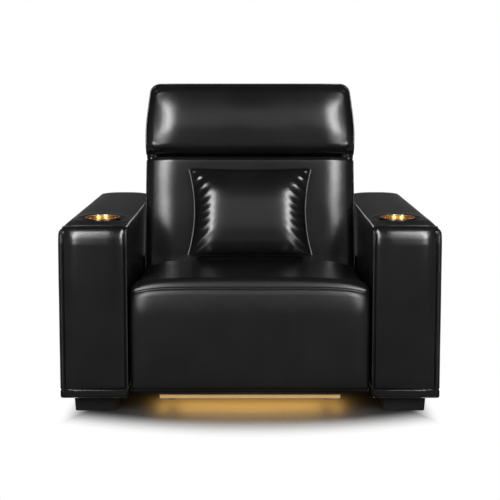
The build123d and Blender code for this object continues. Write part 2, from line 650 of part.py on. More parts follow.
# ---------------------------------------------------------------- legrest
with BuildPart() as legrest_pad:
    hollow = NOSE_RADIUS + PAD_SWING_GAP
    with BuildSketch(Plane.YZ) as section:
        with Locations(((FRONT_Y + PAD_REAR_Y) / 2, (PAD_LIP_Z + PAD_BOTTOM_Z) / 2)):
            Rectangle(PAD_THICK, PAD_LIP_Z - PAD_BOTTOM_Z)
        fillet(section.vertices().group_by(Axis.Y)[0], PAD_ROUND)
        with Locations(HINGE_YZ):
            Circle(hollow, mode=Mode.SUBTRACT)
    extrude(amount=CUSHION_X, both=True)
save(legrest_pad, "legrest_pad")

with BuildPart() as legrest_board:
    with BuildSketch(Plane.XZ.offset(-PAD_REAR_Y)):
        with Locations((0, (LEG_BOARD_TOP_Z + LEG_BOARD_BOTTOM_Z) / 2)):
            RectangleRounded(LEG_BOARD_WIDTH, LEG_BOARD_TOP_Z - LEG_BOARD_BOTTOM_Z, PAD_ROUND)
    extrude(amount=-LEG_BOARD)
save(legrest_board, "legrest_board")

with BuildPart() as legrest_lug:
    lug_y, lug_z = LEG_LUG_YZ
    lug_x = LEG_DRIVE_X + ROD_EYE_THICK / 2 + LUG_GAP
    with BuildSketch(Plane.YZ.offset(lug_x)):
        with Locations(LEG_LUG_YZ):
            Circle(ROD_EYE_RADIUS)
        with Locations((BOARD_REAR_Y + SHEET / 2, lug_z - FLANGE_WIDTH / 4)):
            Rectangle(SHEET, FLANGE_WIDTH)
        make_hull()
    extrude(amount=LUG_THICK)
    with BuildSketch(Plane.XZ.offset(-BOARD_REAR_Y)):
        with Locations((lug_x + LUG_THICK / 2, lug_z - FLANGE_WIDTH / 4)):
            RectangleRounded(FLANGE_WIDTH / 2, FLANGE_WIDTH, SHEET)
    extrude(amount=-SHEET)
save(legrest_lug, "legrest_lug")

# ---------------------------------------------------------------- back
with BuildPart() as back_cushion:
    with BuildSketch(back_plane(BACK_THICK)):
        with Locations((0, BACK_HEIGHT / 2)):
            Rectangle(2 * CUSHION_X, BACK_HEIGHT)
    extrude(amount=BACK_THICK)
    face = back_cushion.faces().sort_by(Axis.Y)[0]
    fillet(face.edges(), BACK_ROUND)
save(back_cushion, "back_cushion")


def upright(side, hand):
    with BuildPart() as post:
        with BuildSketch(side_plane(side, UPRIGHT_X)):
            with BuildLine():
                Polyline(on_back(0, UPRIGHT_T), on_back(BACK_HEIGHT, UPRIGHT_T),
                         on_back(BACK_HEIGHT, UPRIGHT_T + UPRIGHT_DEPTH),
                         on_back(0, UPRIGHT_T + UPRIGHT_DEPTH), close=True)
            make_face()
        extrude(amount=side * UPRIGHT_WIDTH)
        with BuildSketch(side_plane(side, UPRIGHT_X)):
            with Locations(BACK_HINGE_YZ):
                Circle(BACK_BOSS)
            with Locations(on_back(BACK_BOSS, RAIL_T)):
                Circle(UPRIGHT_DEPTH / 2)
            make_hull()
        extrude(amount=side * UPRIGHT_WIDTH)
        with BuildSketch(side_plane(side, UPRIGHT_X)):
            with Locations(BACK_HINGE_YZ):
                Circle(BACK_PIN_RADIUS + PIN_FIT)
        extrude(amount=side * UPRIGHT_WIDTH, mode=Mode.SUBTRACT)
    save(post, f"{hand}_back_upright")


for side, hand in SIDES:
    upright(side, hand)

rail_front = RAIL_T - LOWER_RAIL / 2
rail_rear = RAIL_T + LOWER_RAIL / 2
rail_high = LOWER_RAIL_S + LOWER_RAIL
headrest_fork = fork(HEAD_DRIVE_X, on_back(*HEAD_DRIVE_ST), on_back(rail_high - SHEET, RAIL_T),
                     (LOWER_RAIL - HEAD_FORK_EDGE, SHEET))
with BuildPart() as back_lower_rail:
    with BuildSketch(Plane.YZ):
        Polygon(on_back(LOWER_RAIL_S, rail_front), on_back(LOWER_RAIL_S, rail_rear),
                on_back(rail_high, rail_rear), on_back(rail_high, rail_front), align=None)
    extrude(amount=UPRIGHT_X - SEAT_FIT, both=True)
    with BuildSketch(Plane.YZ.offset(BACK_DRIVE_X + ROD_EYE_THICK / 2 + LUG_GAP)):
        with Locations(BACK_LUG_YZ):
            Circle(ROD_EYE_RADIUS)
        with Locations(on_back((LOWER_RAIL_S + rail_high) / 2, RAIL_T)):
            Circle(LOWER_RAIL / 2)
        make_hull()
    extrude(amount=LUG_THICK)
    add(headrest_fork)
save(back_lower_rail, "back_lower_rail")

with BuildPart() as headrest_motor_pin:
    with BuildSketch(Plane.YZ.offset(HEAD_DRIVE_X)):
        with Locations(on_back(*HEAD_DRIVE_ST)):
            Circle(MOTOR_PIN_RADIUS)
    extrude(amount=EYE_THICK / 2 + LUG_THICK + PLATE_GAP, both=True)
save(headrest_motor_pin, "headrest_motor_pin")

with BuildPart() as back_upper_rail:
    rail_t = UPRIGHT_T + UPRIGHT_DEPTH
    rail_s = BACK_HEIGHT - UPPER_RAIL_HEIGHT
    with BuildSketch(Plane.YZ):
        Polygon(on_back(rail_s, rail_t), on_back(BACK_HEIGHT, rail_t),
                on_back(BACK_HEIGHT, rail_t + UPPER_RAIL_THICK),
                on_back(rail_s, rail_t + UPPER_RAIL_THICK), align=None)
    extrude(amount=UPRIGHT_X + UPRIGHT_WIDTH, both=True)
save(back_upper_rail, "back_upper_rail")

with BuildPart() as back_shell:
    rear_t = SHELL_T + SHELL_WALL
    front_t = BACK_THICK + SEAT_FIT
    with BuildSketch(back_plane(rear_t)):
        with Locations((0, (BACK_HEIGHT - SHELL_DROP) / 2)):
            Rectangle(2 * CUSHION_X, BACK_HEIGHT + SHELL_DROP)
    extrude(amount=rear_t - front_t)
    rear_face = back_shell.faces().sort_by(Axis.Y)[-1]
    rear_edges = [edge for edge in rear_face.edges() if abs(edge.center().X) > UPRIGHT_X]
    fillet(rear_edges, SHELL_ROUND)
    with BuildSketch(back_plane(SHELL_T)):
        with Locations((0, (BACK_HEIGHT - SHELL_DROP) / 2)):
            Rectangle(2 * (CUSHION_X - SHELL_WALL), BACK_HEIGHT + 3 * SHELL_DROP)
    extrude(amount=SHELL_T, mode=Mode.SUBTRACT)
save(back_shell, "back_shell")

# ---------------------------------------------------------------- headrest
hinge_s, hinge_t = HEAD_HINGE_ST
head_hinge_yz = on_back(hinge_s, hinge_t)

with BuildPart() as headrest_brackets:
    bracket_rear = UPRIGHT_T + UPRIGHT_DEPTH
    for side, _ in SIDES:
        with BuildSketch(side_plane(side, HEAD_BRACKET_X)):
            Polygon(on_back(hinge_s - HEAD_BOSS * 0.8, hinge_t - HEAD_BOSS * 0.5),
                    on_back(BACK_HEIGHT + HEAD_GAP / 2, UPRIGHT_T),
                    on_back(BACK_HEIGHT - UPPER_RAIL_HEIGHT, UPRIGHT_T),
                    on_back(BACK_HEIGHT - UPPER_RAIL_HEIGHT, bracket_rear),
                    on_back(BACK_HEIGHT + 2 * HEAD_GAP, bracket_rear),
                    on_back(hinge_s + HEAD_BOSS * 0.6, hinge_t + HEAD_BOSS * 0.6), align=None)
            with Locations(head_hinge_yz):
                Circle(HEAD_BOSS)
                Circle(HINGE_PIN_RADIUS, mode=Mode.SUBTRACT)
        extrude(amount=side * PLATE_THICK)
save(headrest_brackets, "headrest_brackets")

with BuildPart() as headrest_pins:
    for side, _ in SIDES:
        with BuildSketch(side_plane(side, HEAD_ARM_X - PLATE_GAP)):
            with Locations(head_hinge_yz):
                Circle(HINGE_PIN_RADIUS)
        extrude(amount=side * (2 * PLATE_THICK + 3 * PLATE_GAP))
save(headrest_pins, "headrest_pins")

with BuildPart() as headrest_frame:
    plate_top = HEAD_TOP_S - 2 * HEAD_ROUND
    plate_t = HEAD_PAD_T + SEAT_FIT
    with BuildSketch(Plane.YZ):
        Polygon(on_back(HEAD_PLATE_S, plate_t), on_back(plate_top, plate_t),
                on_back(plate_top, plate_t + HEAD_PLATE),
                on_back(HEAD_PLATE_S, plate_t + HEAD_PLATE), align=None)
    extrude(amount=HEAD_PLATE_WIDTH / 2, both=True)
    for side, _ in SIDES:
        with BuildSketch(side_plane(side, HEAD_ARM_X)):
            with Locations(head_hinge_yz):
                Circle(HEAD_BOSS)
            with BuildLine():
                Polyline(on_back(HEAD_PLATE_S, plate_t),
                         on_back(HEAD_PLATE_S + FLANGE_WIDTH / 2, plate_t),
                         on_back(HEAD_PLATE_S + FLANGE_WIDTH / 2, plate_t + SHEET),
                         on_back(HEAD_PLATE_S, plate_t + SHEET), close=True)
            make_face()
            make_hull()
            with Locations(head_hinge_yz):
                Circle(HINGE_PIN_RADIUS + PIN_FIT, mode=Mode.SUBTRACT)
        extrude(amount=side * PLATE_THICK)
    with BuildSketch(Plane.YZ.offset(HEAD_DRIVE_X + ROD_EYE_THICK / 2 + LUG_GAP)):
        with Locations(on_back(*HEAD_LUG_ST)):
            Circle(ROD_EYE_RADIUS)
        with Locations(on_back(HEAD_PLATE_S + FLANGE_WIDTH / 4, plate_t + HEAD_PLATE / 2)):
            Circle(HEAD_PLATE / 2)
        make_hull()
    extrude(amount=LUG_THICK)
save(headrest_frame, "headrest_frame")

with BuildPart() as headrest_cushion:
    with BuildSketch(Plane.YZ) as section:
        with BuildLine():
            ThreePointArc(on_back(hinge_s, hinge_t - HEAD_ROLL),
                          on_back(hinge_s - HEAD_ROLL * sin(radians(45)),
                                  hinge_t - HEAD_ROLL * cos(radians(45))),
                          on_back(hinge_s - HEAD_ROLL, hinge_t))
            Polyline(on_back(hinge_s - HEAD_ROLL, hinge_t), on_back(HEAD_BASE_S, HEAD_PAD_T),
                     on_back(HEAD_TOP_S, HEAD_PAD_T), on_back(HEAD_TOP_S, HEAD_TOP_T),
                     on_back(hinge_s + 2 * HEAD_ROLL, hinge_t - HEAD_ROLL),
                     on_back(hinge_s, hinge_t - HEAD_ROLL))
        make_face()
        fillet(section.vertices().sort_by(Axis.Y)[-2:], HEAD_ROUND)
    extrude(amount=CUSHION_X, both=True)
    for side, _ in SIDES:
        with BuildSketch(side_plane(side, HEAD_SLOT_X)):
            Polygon(on_back(HEAD_BASE_S - HEAD_GAP, hinge_t - HEAD_BOSS - PLATE_GAP),
                    on_back(HEAD_BASE_S - HEAD_GAP, HEAD_PAD_T + PLATE_GAP),
                    on_back(HEAD_PLATE_S + FLANGE_WIDTH / 2 + PLATE_GAP, HEAD_PAD_T + PLATE_GAP),
                    on_back(HEAD_PLATE_S + FLANGE_WIDTH / 2 + PLATE_GAP, HEAD_PAD_T - FLANGE_WIDTH / 4),
                    on_back(hinge_s + HEAD_BOSS + PLATE_GAP, hinge_t - HEAD_BOSS - PLATE_GAP),
                    align=None)
        extrude(amount=side * HEAD_SLOT_WIDTH, mode=Mode.SUBTRACT)
save(headrest_cushion, "headrest_cushion")

with BuildPart() as headrest_shell:
    inside_t = HEAD_PAD_T + SEAT_FIT
    with BuildSketch(Plane.YZ) as outline:
        with BuildLine():
            Polyline(on_back(HEAD_BASE_S, inside_t), on_back(HEAD_BASE_S, HEAD_REAR_T),
                     on_back(HEAD_BASE_S + HEAD_ROLL, HEAD_REAR_T),
                     on_back(HEAD_TOP_S, HEAD_SHELL_TOP_T), on_back(HEAD_TOP_S, inside_t),
                     close=True)
        make_face()
        fillet(outline.vertices().sort_by(Axis.X)[-1], HEAD_ROUND)
    extrude(amount=CUSHION_X, both=True)
    with BuildSketch(Plane.YZ):
        Polygon(on_back(HEAD_BASE_S - HEAD_GAP, inside_t - HEAD_GAP),
                on_back(HEAD_BASE_S - HEAD_GAP, HEAD_REAR_T - SHELL_WALL),
                on_back(HEAD_BASE_S + HEAD_ROLL, HEAD_REAR_T - SHELL_WALL),
                on_back(HEAD_TOP_S - SHELL_WALL, HEAD_SHELL_TOP_T - SHELL_WALL / 2),
                on_back(HEAD_TOP_S - SHELL_WALL, inside_t - HEAD_GAP), align=None)
    extrude(amount=CUSHION_X - SHELL_WALL, both=True, mode=Mode.SUBTRACT)
save(headrest_shell, "headrest_shell")

# ---------------------------------------------------------------- pillow
with BuildPart() as lumbar_pillow:
    with BuildSketch(back_plane(-PILLOW_REAR - SEAT_FIT)):
        with Locations((0, PILLOW_S + PILLOW_HEIGHT / 2)):
            RectangleRounded(PILLOW_WIDTH, PILLOW_HEIGHT, PILLOW_CORNER)
    extrude(amount=PILLOW_FRONT, taper=PILLOW_TAPER)
    with BuildSketch(back_plane(-PILLOW_REAR - SEAT_FIT)):
        with Locations((0, PILLOW_S + PILLOW_HEIGHT / 2)):
            RectangleRounded(PILLOW_WIDTH, PILLOW_HEIGHT, PILLOW_CORNER)
    extrude(amount=-PILLOW_REAR, taper=PILLOW_TAPER)
save(lumbar_pillow, "lumbar_pillow")


# ---------------------------------------------------------------- actuators
def actuator(name, centre_x, fixed_yz, moving_yz, rail_length, rod_start):
    """A motor with its guide rail, and the rod that runs in it, drawn at rest."""
    run_y = moving_yz[0] - fixed_yz[0]
    run_z = moving_yz[1] - fixed_yz[1]
    reach = hypot(run_y, run_z)
    along = Plane(origin=(centre_x, *fixed_yz), x_dir=(0, run_y, run_z), z_dir=(1, 0, 0))
    start = Plane(origin=along.origin, x_dir=(1, 0, 0), z_dir=(0, run_y, run_z))
    gear_start = EYE_RADIUS
    gear_end = gear_start + GEARBOX_LENGTH
    with BuildPart() as motor:
        with BuildSketch(along):
            Circle(EYE_RADIUS)
            with Locations((gear_start, 0)):
                Rectangle(2 * EYE_RADIUS, EYE_NECK)
        extrude(amount=EYE_THICK / 2, both=True)
        with BuildSketch(start.offset(gear_start)):
            RectangleRounded(GEARBOX, GEARBOX, BOLT_RADIUS)
        extrude(amount=GEARBOX_LENGTH)
        with BuildSketch(start.offset(gear_end)):
            Circle(RAIL_RADIUS)
        extrude(amount=rail_length - gear_end)
        with BuildSketch(along.offset(GEARBOX / 2)):
            with Locations(((gear_start + gear_end) / 2, 0)):
                Circle(MOTOR_RADIUS)
        extrude(amount=MOTOR_LENGTH)
        with BuildSketch(start.offset(gear_end)):
            Circle(ROD_RADIUS + ROD_FIT)
        extrude(amount=rail_length - gear_end, mode=Mode.SUBTRACT)
        with BuildSketch(along):
            Circle(MOTOR_PIN_RADIUS + PIN_FIT)
        extrude(amount=EYE_THICK, both=True, mode=Mode.SUBTRACT)
    save(motor, f"{name}_motor")
    with BuildPart() as rod:
        with BuildSketch(along):
            with Locations((reach, 0)):
                Circle(ROD_EYE_RADIUS)
        extrude(amount=ROD_EYE_THICK / 2, both=True)
        with BuildSketch(start.offset(rod_start)):
            Circle(ROD_RADIUS)
        extrude(amount=reach - rod_start - ROD_RADIUS)
        with BuildSketch(along):
            with Locations((reach, 0)):
                Circle(MOTOR_PIN_RADIUS + PIN_FIT)
        extrude(amount=ROD_EYE_THICK, both=True, mode=Mode.SUBTRACT)
    save(rod, f"{name}_rod")


actuator("legrest", LEG_DRIVE_X, LEG_DRIVE_YZ, LEG_LUG_YZ, LEG_RAIL_LENGTH, LEG_ROD_START)
actuator("recline", BACK_DRIVE_X, BACK_DRIVE_YZ, BACK_LUG_YZ, BACK_RAIL_LENGTH, BACK_ROD_START)
actuator("headrest", HEAD_DRIVE_X, on_back(*HEAD_DRIVE_ST), on_back(*HEAD_LUG_ST),
         HEAD_RAIL_LENGTH, HEAD_ROD_START)

# ---------------------------------------------------------------- switch
with BuildPart() as switch_housing:
    face_x = WIDTH / 2 - SEAT_FIT
    with BuildSketch(Plane.YZ.offset(-face_x)):
        with Locations(SWITCH_YZ):
            RectangleRounded(SWITCH_LENGTH, SWITCH_HEIGHT, SWITCH_ROUND)
    extrude(amount=SWITCH_DEPTH)
    with BuildSketch(Plane.YZ.offset(-face_x)):
        with Locations(SWITCH_YZ):
            with GridLocations(BUTTON_PITCH_Y, BUTTON_PITCH_Z, 2, 2):
                Rectangle(BUTTON_LENGTH + 2 * BUTTON_FIT, BUTTON_HEIGHT + 2 * BUTTON_FIT)
    extrude(amount=BUTTON_DEPTH + BUTTON_TRAVEL, mode=Mode.SUBTRACT)
save(switch_housing, "switch_housing")

BUTTONS = (("recline_back_button", -1, 1), ("recline_forward_button", 1, 1),
           ("headrest_back_button", -1, -1), ("headrest_forward_button", 1, -1))
for name, row, column in BUTTONS:
    button_y = SWITCH_YZ[0] + row * BUTTON_PITCH_Y / 2
    button_z = SWITCH_YZ[1] + column * BUTTON_PITCH_Z / 2
    with BuildPart() as button:
        with BuildSketch(Plane.YZ.offset(-WIDTH / 2)):
            with Locations((button_y, button_z)):
                Rectangle(BUTTON_LENGTH, BUTTON_HEIGHT)
        extrude(amount=BUTTON_DEPTH)
        chamfer(button.faces().sort_by(Axis.X)[0].edges(), BUTTON_FIT * 2)
    save(button, name)

# ---------------------------------------------------------------- rear panel and power
with BuildPart() as rear_panel:
    with BuildSketch(Plane.XZ.offset(-PANEL_REAR_Y)):
        with Locations((0, (PANEL_TOP_Z + PANEL_BOTTOM_Z) / 2)):
            Rectangle(2 * (INNER_X - SEAT_FIT), PANEL_TOP_Z - PANEL_BOTTOM_Z)
        with Locations(INLET_XZ):
            Circle(INLET_RADIUS + SEAT_FIT, mode=Mode.SUBTRACT)
    extrude(amount=PANEL_THICK)
    fillet(rear_panel.faces().sort_by(Axis.Z)[-1].edges().filter_by(Axis.X), PANEL_THICK / 3)
save(rear_panel, "rear_panel")

with BuildPart() as power_inlet:
    with BuildSketch(Plane.XZ.offset(-PANEL_REAR_Y)):
        with Locations(INLET_XZ):
            Circle(INLET_RADIUS)
    extrude(amount=1.5 * PANEL_THICK)
    with BuildSketch(Plane.XZ.offset(-PANEL_REAR_Y)):
        with Locations(INLET_XZ):
            Circle(INLET_BORE * 2)
            Circle(INLET_BORE / 3, mode=Mode.SUBTRACT)
    extrude(amount=PANEL_THICK / 2, mode=Mode.SUBTRACT)
save(power_inlet, "power_inlet")

with BuildPart() as control_box:
    with BuildSketch(Plane.XY.offset(REAR_TUBE_YZ[1] - TUBE / 2 - SEAT_FIT)):
        with Locations((0, REAR_TUBE_YZ[0])):
            RectangleRounded(CONTROL_LENGTH, CONTROL_DEPTH, BOLT_HEAD_RADIUS)
    extrude(amount=-CONTROL_HEIGHT)
    fillet(control_box.faces().sort_by(Axis.Z)[0].edges(), BOLT_RADIUS)
save(control_box, "control_box")

# ---------------------------------------------------------------- light bar
light_y, light_z = LIGHT_YZ
with BuildPart() as led_channel:
    with BuildSketch(Plane.YZ):
        with Locations(LIGHT_YZ):
            Rectangle(LIGHT_DEPTH, LIGHT_HEIGHT)
        with Locations((light_y - LIGHT_WALL, light_z)):
            Rectangle(LIGHT_DEPTH, LIGHT_HEIGHT - 2 * LIGHT_WALL, mode=Mode.SUBTRACT)
    extrude(amount=LIGHT_LENGTH / 2, both=True)
save(led_channel, "led_channel")

with BuildPart() as led_diffuser:
    with BuildSketch(Plane.YZ):
        with Locations((light_y - LIGHT_WALL, light_z)):
            Rectangle(LIGHT_DEPTH - 2 * LIGHT_WALL, LIGHT_HEIGHT - 2 * LIGHT_WALL - SEAT_FIT)
    extrude(amount=LIGHT_LENGTH / 2 - LIGHT_WALL, both=True)
save(led_diffuser, "led_diffuser")

with BuildPart() as led_hangers:
    hanger_top = FRONT_TUBE_YZ[1] - TUBE / 2 - SEAT_FIT
    hanger_low = light_z - LIGHT_HEIGHT / 2 - SEAT_FIT
    tube_front = FRONT_TUBE_YZ[0] - TUBE / 2
    for side, _ in SIDES:
        with BuildSketch(side_plane(side, LIGHT_HANGER_X)):
            with BuildLine():
                path = Polyline((tube_front + TUBE, hanger_top), (LIGHT_HANGER_Y, hanger_top),
                                (LIGHT_HANGER_Y, hanger_low),
                                (light_y - LIGHT_DEPTH / 2, hanger_low))
                offset(path, amount=SHEET / 2, side=Side.LEFT)
            make_face()
        extrude(amount=side * LIGHT_HANGER_WIDTH)
save(led_hangers, "led_hangers")


# ---------------------------------------------------------------- flange bolts
with BuildPart() as frame_bolts:
    spread = FLANGE_WIDTH - 2 * BOLT_INSET
    for side, _ in SIDES:
        seat_x = INNER_X - SEAT_FIT - FLANGE_THICK
        for centre in (FRONT_TUBE_YZ, REAR_TUBE_YZ):
            with BuildSketch(side_plane(side, seat_x)):
                with Locations(centre):
                    with GridLocations(spread, spread, 2, 2):
                        RegularPolygon(BOLT_HEAD_RADIUS, 6)
            extrude(amount=-side * BOLT_HEAD)
save(frame_bolts, "frame_bolts")
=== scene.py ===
import bmesh
import bpy
import json
import math
import numpy as np
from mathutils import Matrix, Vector, noise


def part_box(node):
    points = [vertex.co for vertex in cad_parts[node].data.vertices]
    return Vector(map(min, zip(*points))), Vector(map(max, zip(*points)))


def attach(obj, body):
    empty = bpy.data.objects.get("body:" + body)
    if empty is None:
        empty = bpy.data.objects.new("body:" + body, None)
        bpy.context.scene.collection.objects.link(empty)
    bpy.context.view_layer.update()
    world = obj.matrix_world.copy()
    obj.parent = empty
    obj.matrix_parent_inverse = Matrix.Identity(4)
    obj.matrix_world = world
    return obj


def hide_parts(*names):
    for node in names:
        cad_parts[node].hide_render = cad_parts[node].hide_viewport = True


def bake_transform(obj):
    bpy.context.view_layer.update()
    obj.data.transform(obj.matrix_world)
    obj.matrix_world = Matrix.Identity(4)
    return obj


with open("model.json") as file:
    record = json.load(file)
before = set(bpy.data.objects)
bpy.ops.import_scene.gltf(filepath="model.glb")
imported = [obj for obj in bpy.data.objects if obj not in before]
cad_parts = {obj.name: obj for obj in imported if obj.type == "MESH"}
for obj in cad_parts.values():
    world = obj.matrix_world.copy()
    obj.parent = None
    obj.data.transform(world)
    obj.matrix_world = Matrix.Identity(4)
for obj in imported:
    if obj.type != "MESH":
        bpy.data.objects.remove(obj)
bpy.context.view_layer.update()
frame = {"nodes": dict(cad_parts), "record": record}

MM = 0.001

# Sizes in millimetres, in the frame of the CAD model. The sitter faces -Y, +Z is up.
ARM_LOW, ARM_HIGH = (np.array(c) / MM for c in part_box("left_arm_cover"))
CUP_LOW, CUP_HIGH = (np.array(c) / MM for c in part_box("left_cup_bezel"))
SWITCH_LOW, SWITCH_HIGH = (np.array(c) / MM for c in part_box("switch_housing"))
SEAT_LOW, SEAT_HIGH = (np.array(c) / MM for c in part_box("seat_cushion"))
PAD_LOW, PAD_HIGH = (np.array(c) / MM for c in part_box("legrest_pad"))
INNER_X, OUTER_X = ARM_LOW[0], ARM_HIGH[0]
FRONT_Y, REAR_Y = ARM_LOW[1], ARM_HIGH[1]
ARM_BOTTOM = ARM_LOW[2]
ARM_SHOULDER = ARM_HIGH[2] - 8.0  # where the crown of the arm's top starts
CUP_X, CUP_Y = (CUP_LOW[:2] + CUP_HIGH[:2]) / 2
CUP_RADIUS = (CUP_HIGH[0] - CUP_LOW[0]) / 2
CUSHION_X = SEAT_HIGH[0]
NOSE = 45.0  # radius of the seat's front roll
HINGE_Y, HINGE_Z = FRONT_Y + NOSE, SEAT_HIGH[2] - NOSE
BACK_LEAN = math.radians(11.0)
BACK_FOOT_Y, BACK_FOOT_Z = 28.0, 330.0
BACK_HEIGHT = 401.0
HEAD_BASE, HEAD_TOP = 406.0, 652.0
SIDES = ((-1, "right"), (1, "left"))


# ------ mesh helpers
TINY = 1e-9
SAME_MARK = 1e-4  # grid lines closer than this are one
WELD = 1e-6  # metres
QUAD = ((0, 0), (1, 0), (1, 1), (0, 1))
CIRCLE_STEPS = 96
CORNER_STEPS = 8
TUBE_HINT = (0.13, 0.97, 0.21)  # directions that no path follows
STITCH_HINT = (0.3, 0.5, 0.81)
STITCH_SIDES = 6
STITCH_PROFILE = ((-0.5, 0.35), (-0.3, 1.0), (0.3, 1.0), (0.5, 0.35))


def mesh_object(name, points, faces, finish):
    """A smooth mesh piece from points in millimetres."""
    mesh = bpy.data.meshes.new(name)
    scaled = [tuple(float(c) * MM for c in p) for p in points]
    mesh.from_pydata(scaled, [], [tuple(int(i) for i in f) for f in faces])
    mesh.validate()
    smooth(mesh)
    piece = bpy.data.objects.new(name, mesh)
    bpy.context.collection.objects.link(piece)
    mesh.materials.append(finish)
    return piece


def smooth(mesh):
    mesh.polygons.foreach_set("use_smooth", [True] * len(mesh.polygons))


def spaced(low, high, step, fine=()):
    """Coordinates from low to high, with finer steps in (centre, half width, step) zones."""
    marks = list(np.linspace(low, high, max(2, int(round((high - low) / step)) + 1)))
    for centre, half, small in fine:
        first, last = max(low, centre - half), min(high, centre + half)
        marks = [m for m in marks if not first < m < last]
        marks += list(np.linspace(first, last, int(round((last - first) / small)) + 1))
    marks = sorted(marks)
    return np.array([m for i, m in enumerate(marks) if i == 0 or m - marks[i - 1] > SAME_MARK])


def spaced_across(half, step, *fine):
    """Coordinates from -half to half. The zones are (distance from the ends, half width, step)."""
    zones = [(end * (half - inset), width, small) for inset, width, small in fine
             for end in (-1, 1)]
    return spaced(-half, half, step, zones)


def block(xs, ys, zs, radius, without=()):
    """Points and faces of a box with rounded edges, on the given grid lines.

    without names sides to leave open, as (axis, end) with end 0 or -1."""
    grid = (xs, ys, zs)
    index, points, faces = {}, [], []

    def painted_shade_ao(key):
        if key not in index:
            index[key] = len(points)
            points.append([line[k] for line, k in zip(grid, key)])
        return index[key]

    for axis in range(3):
        u, v = [a for a in range(3) if a != axis]
        for end in (0, -1):
            if (axis, end) in without:
                continue
            for a in range(len(grid[u]) - 1):
                for b in range(len(grid[v]) - 1):
                    loop = []
                    for da, db in QUAD:
                        key = [end % len(grid[axis])] * 3
                        key[u], key[v] = a + da, b + db
                        loop.append(painted_shade_ao(tuple(key)))
                    inward = (end == 0) == (axis == 1)
                    faces.append(loop[::-1] if inward else loop)
    points = np.array(points)
    low, high = (np.array([line[end] for line in grid]) for end in (0, -1))
    core = np.clip(points, low + radius, high - radius)
    away = points - core
    length = np.linalg.norm(away, axis=1)
    scale = np.where(length > TINY, radius / np.maximum(length, TINY), 0.0)
    return core + away * scale[:, None], faces


def loft(count, size, closed=False, ends=True):
    """Faces over count rings of size points. A closed loft joins the last ring to the first."""
    faces = []
    for i in range(count if closed else count - 1):
        a, b = i * size, (i + 1) % count * size
        for k in range(size):
            n = (k + 1) % size
            faces.append((a + k, a + n, b + n, b + k))
    if ends and not closed:
        faces.append(tuple(range(size))[::-1])
        faces.append(tuple(range((count - 1) * size, count * size)))
    return faces


def roll(distance, width):
    """0 at a seam, rising as a quarter circle to 1 at width inside it."""
    a = np.clip(distance / width, 0, 1)
    return np.sqrt(np.maximum(0, 1 - (1 - a) ** 2))


def crown(distance, width):
    """0 at an edge, rising as a parabola to 1 at width inside it."""
    a = np.clip(distance / width, 0, 1)
    return 1 - (1 - a) ** 2


def ease(value, low, high):
    """0 at low, rising smoothly to 1 at high."""
    t = np.clip((value - low) / (high - low), 0, 1)
    return t * t * (3 - 2 * t)


def groove(distance, width):
    """1 at a line, fading to nothing over some widths."""
    return np.exp(-(distance / width) ** 2)


def hump(share):
    """Half a wave: 0 at share 0 and 1, and 1 between them."""
    return np.sin(np.clip(share, 0, 1) * math.pi)


def round_corner(a, b, radius):
    """Turns the square corner between two edge distances into a round one."""
    u, v = np.maximum(0, radius - a), np.maximum(0, radius - b)
    reach = np.hypot(u, v)
    scale = np.where(reach > TINY, np.maximum(u, v) / np.maximum(reach, TINY), 1.0)
    inside = (u > 0) & (v > 0)
    return np.where(inside, radius - u * scale, a), np.where(inside, radius - v * scale, b)


def ripple(points, scale, seed):
    """Smooth noise in -1..1 for each point, at a size of scale millimetres."""
    return np.array([noise.noise(Vector((p[0] / scale + seed, p[1] / scale, p[2] / scale)))
                     for p in points])


def rays_round(way, hint, sides):
    """Unit vectors all round a direction, square to it."""
    side = np.cross(way, hint)
    side = side / np.linalg.norm(side)
    up = np.cross(side, way)
    turns = [2 * math.pi * k / sides for k in range(sides)]
    return [side * math.cos(a) + up * math.sin(a) for a in turns]


def tube(name, path, radius, finish, closed=False, sides=8):
    """A round cord, such as a piping, along a path in millimetres."""
    path = np.array(path, float)
    count = len(path)
    points = []
    for i, spot in enumerate(path):
        ahead = path[(i + 1) % count] if closed or i + 1 < count else spot
        behind = path[i - 1] if closed or i else spot
        along = ahead - behind
        along = along / np.linalg.norm(along)
        points += [spot + radius * ray for ray in rays_round(along, TUBE_HINT, sides)]
    return mesh_object(name, points, loft(count, sides, closed), finish)


def resample(path, pitch, ahead=0.5):
    """Points every pitch millimetres along a path, with the direction at each."""
    path = np.array(path, float)
    steps = np.linalg.norm(np.diff(path, axis=0), axis=1)
    reach = np.concatenate(([0], np.cumsum(steps)))
    count = max(2, int(reach[-1] / pitch))
    marks = np.linspace(0, reach[-1], count + 1)[:-1] + reach[-1] / count / 2
    places, nexts = (np.array([np.interp(at, reach, path[:, k]) for k in range(3)]).T
                     for at in (marks, marks + ahead))
    ways = nexts - places
    return places, ways / np.linalg.norm(ways, axis=1)[:, None]


def stitches(name, path, finish, pitch=6.5, length=4.6, radius=0.75):
    """A row of thread stitches, each thinner at its ends, along a path."""
    points, faces = [], []
    for place, way in zip(*resample(path, pitch)):
        faces += [tuple(len(points) + k for k in face)
                  for face in loft(len(STITCH_PROFILE), STITCH_SIDES)]
        rays = rays_round(way, STITCH_HINT, STITCH_SIDES)
        points += [place + way * t * length + ray * thickness * radius
                   for t, thickness in STITCH_PROFILE for ray in rays]
    return mesh_object(name, points, faces, finish)


def recalculate(piece, weld=0.0):
    """Joins points closer than weld, in metres, and points every face outwards."""
    mesh = bmesh.new()
    mesh.from_mesh(piece.data)
    if weld:
        bmesh.ops.remove_doubles(mesh, verts=mesh.verts, dist=weld)
    bmesh.ops.recalc_face_normals(mesh, faces=mesh.faces)
    mesh.to_mesh(piece.data)
    mesh.free()


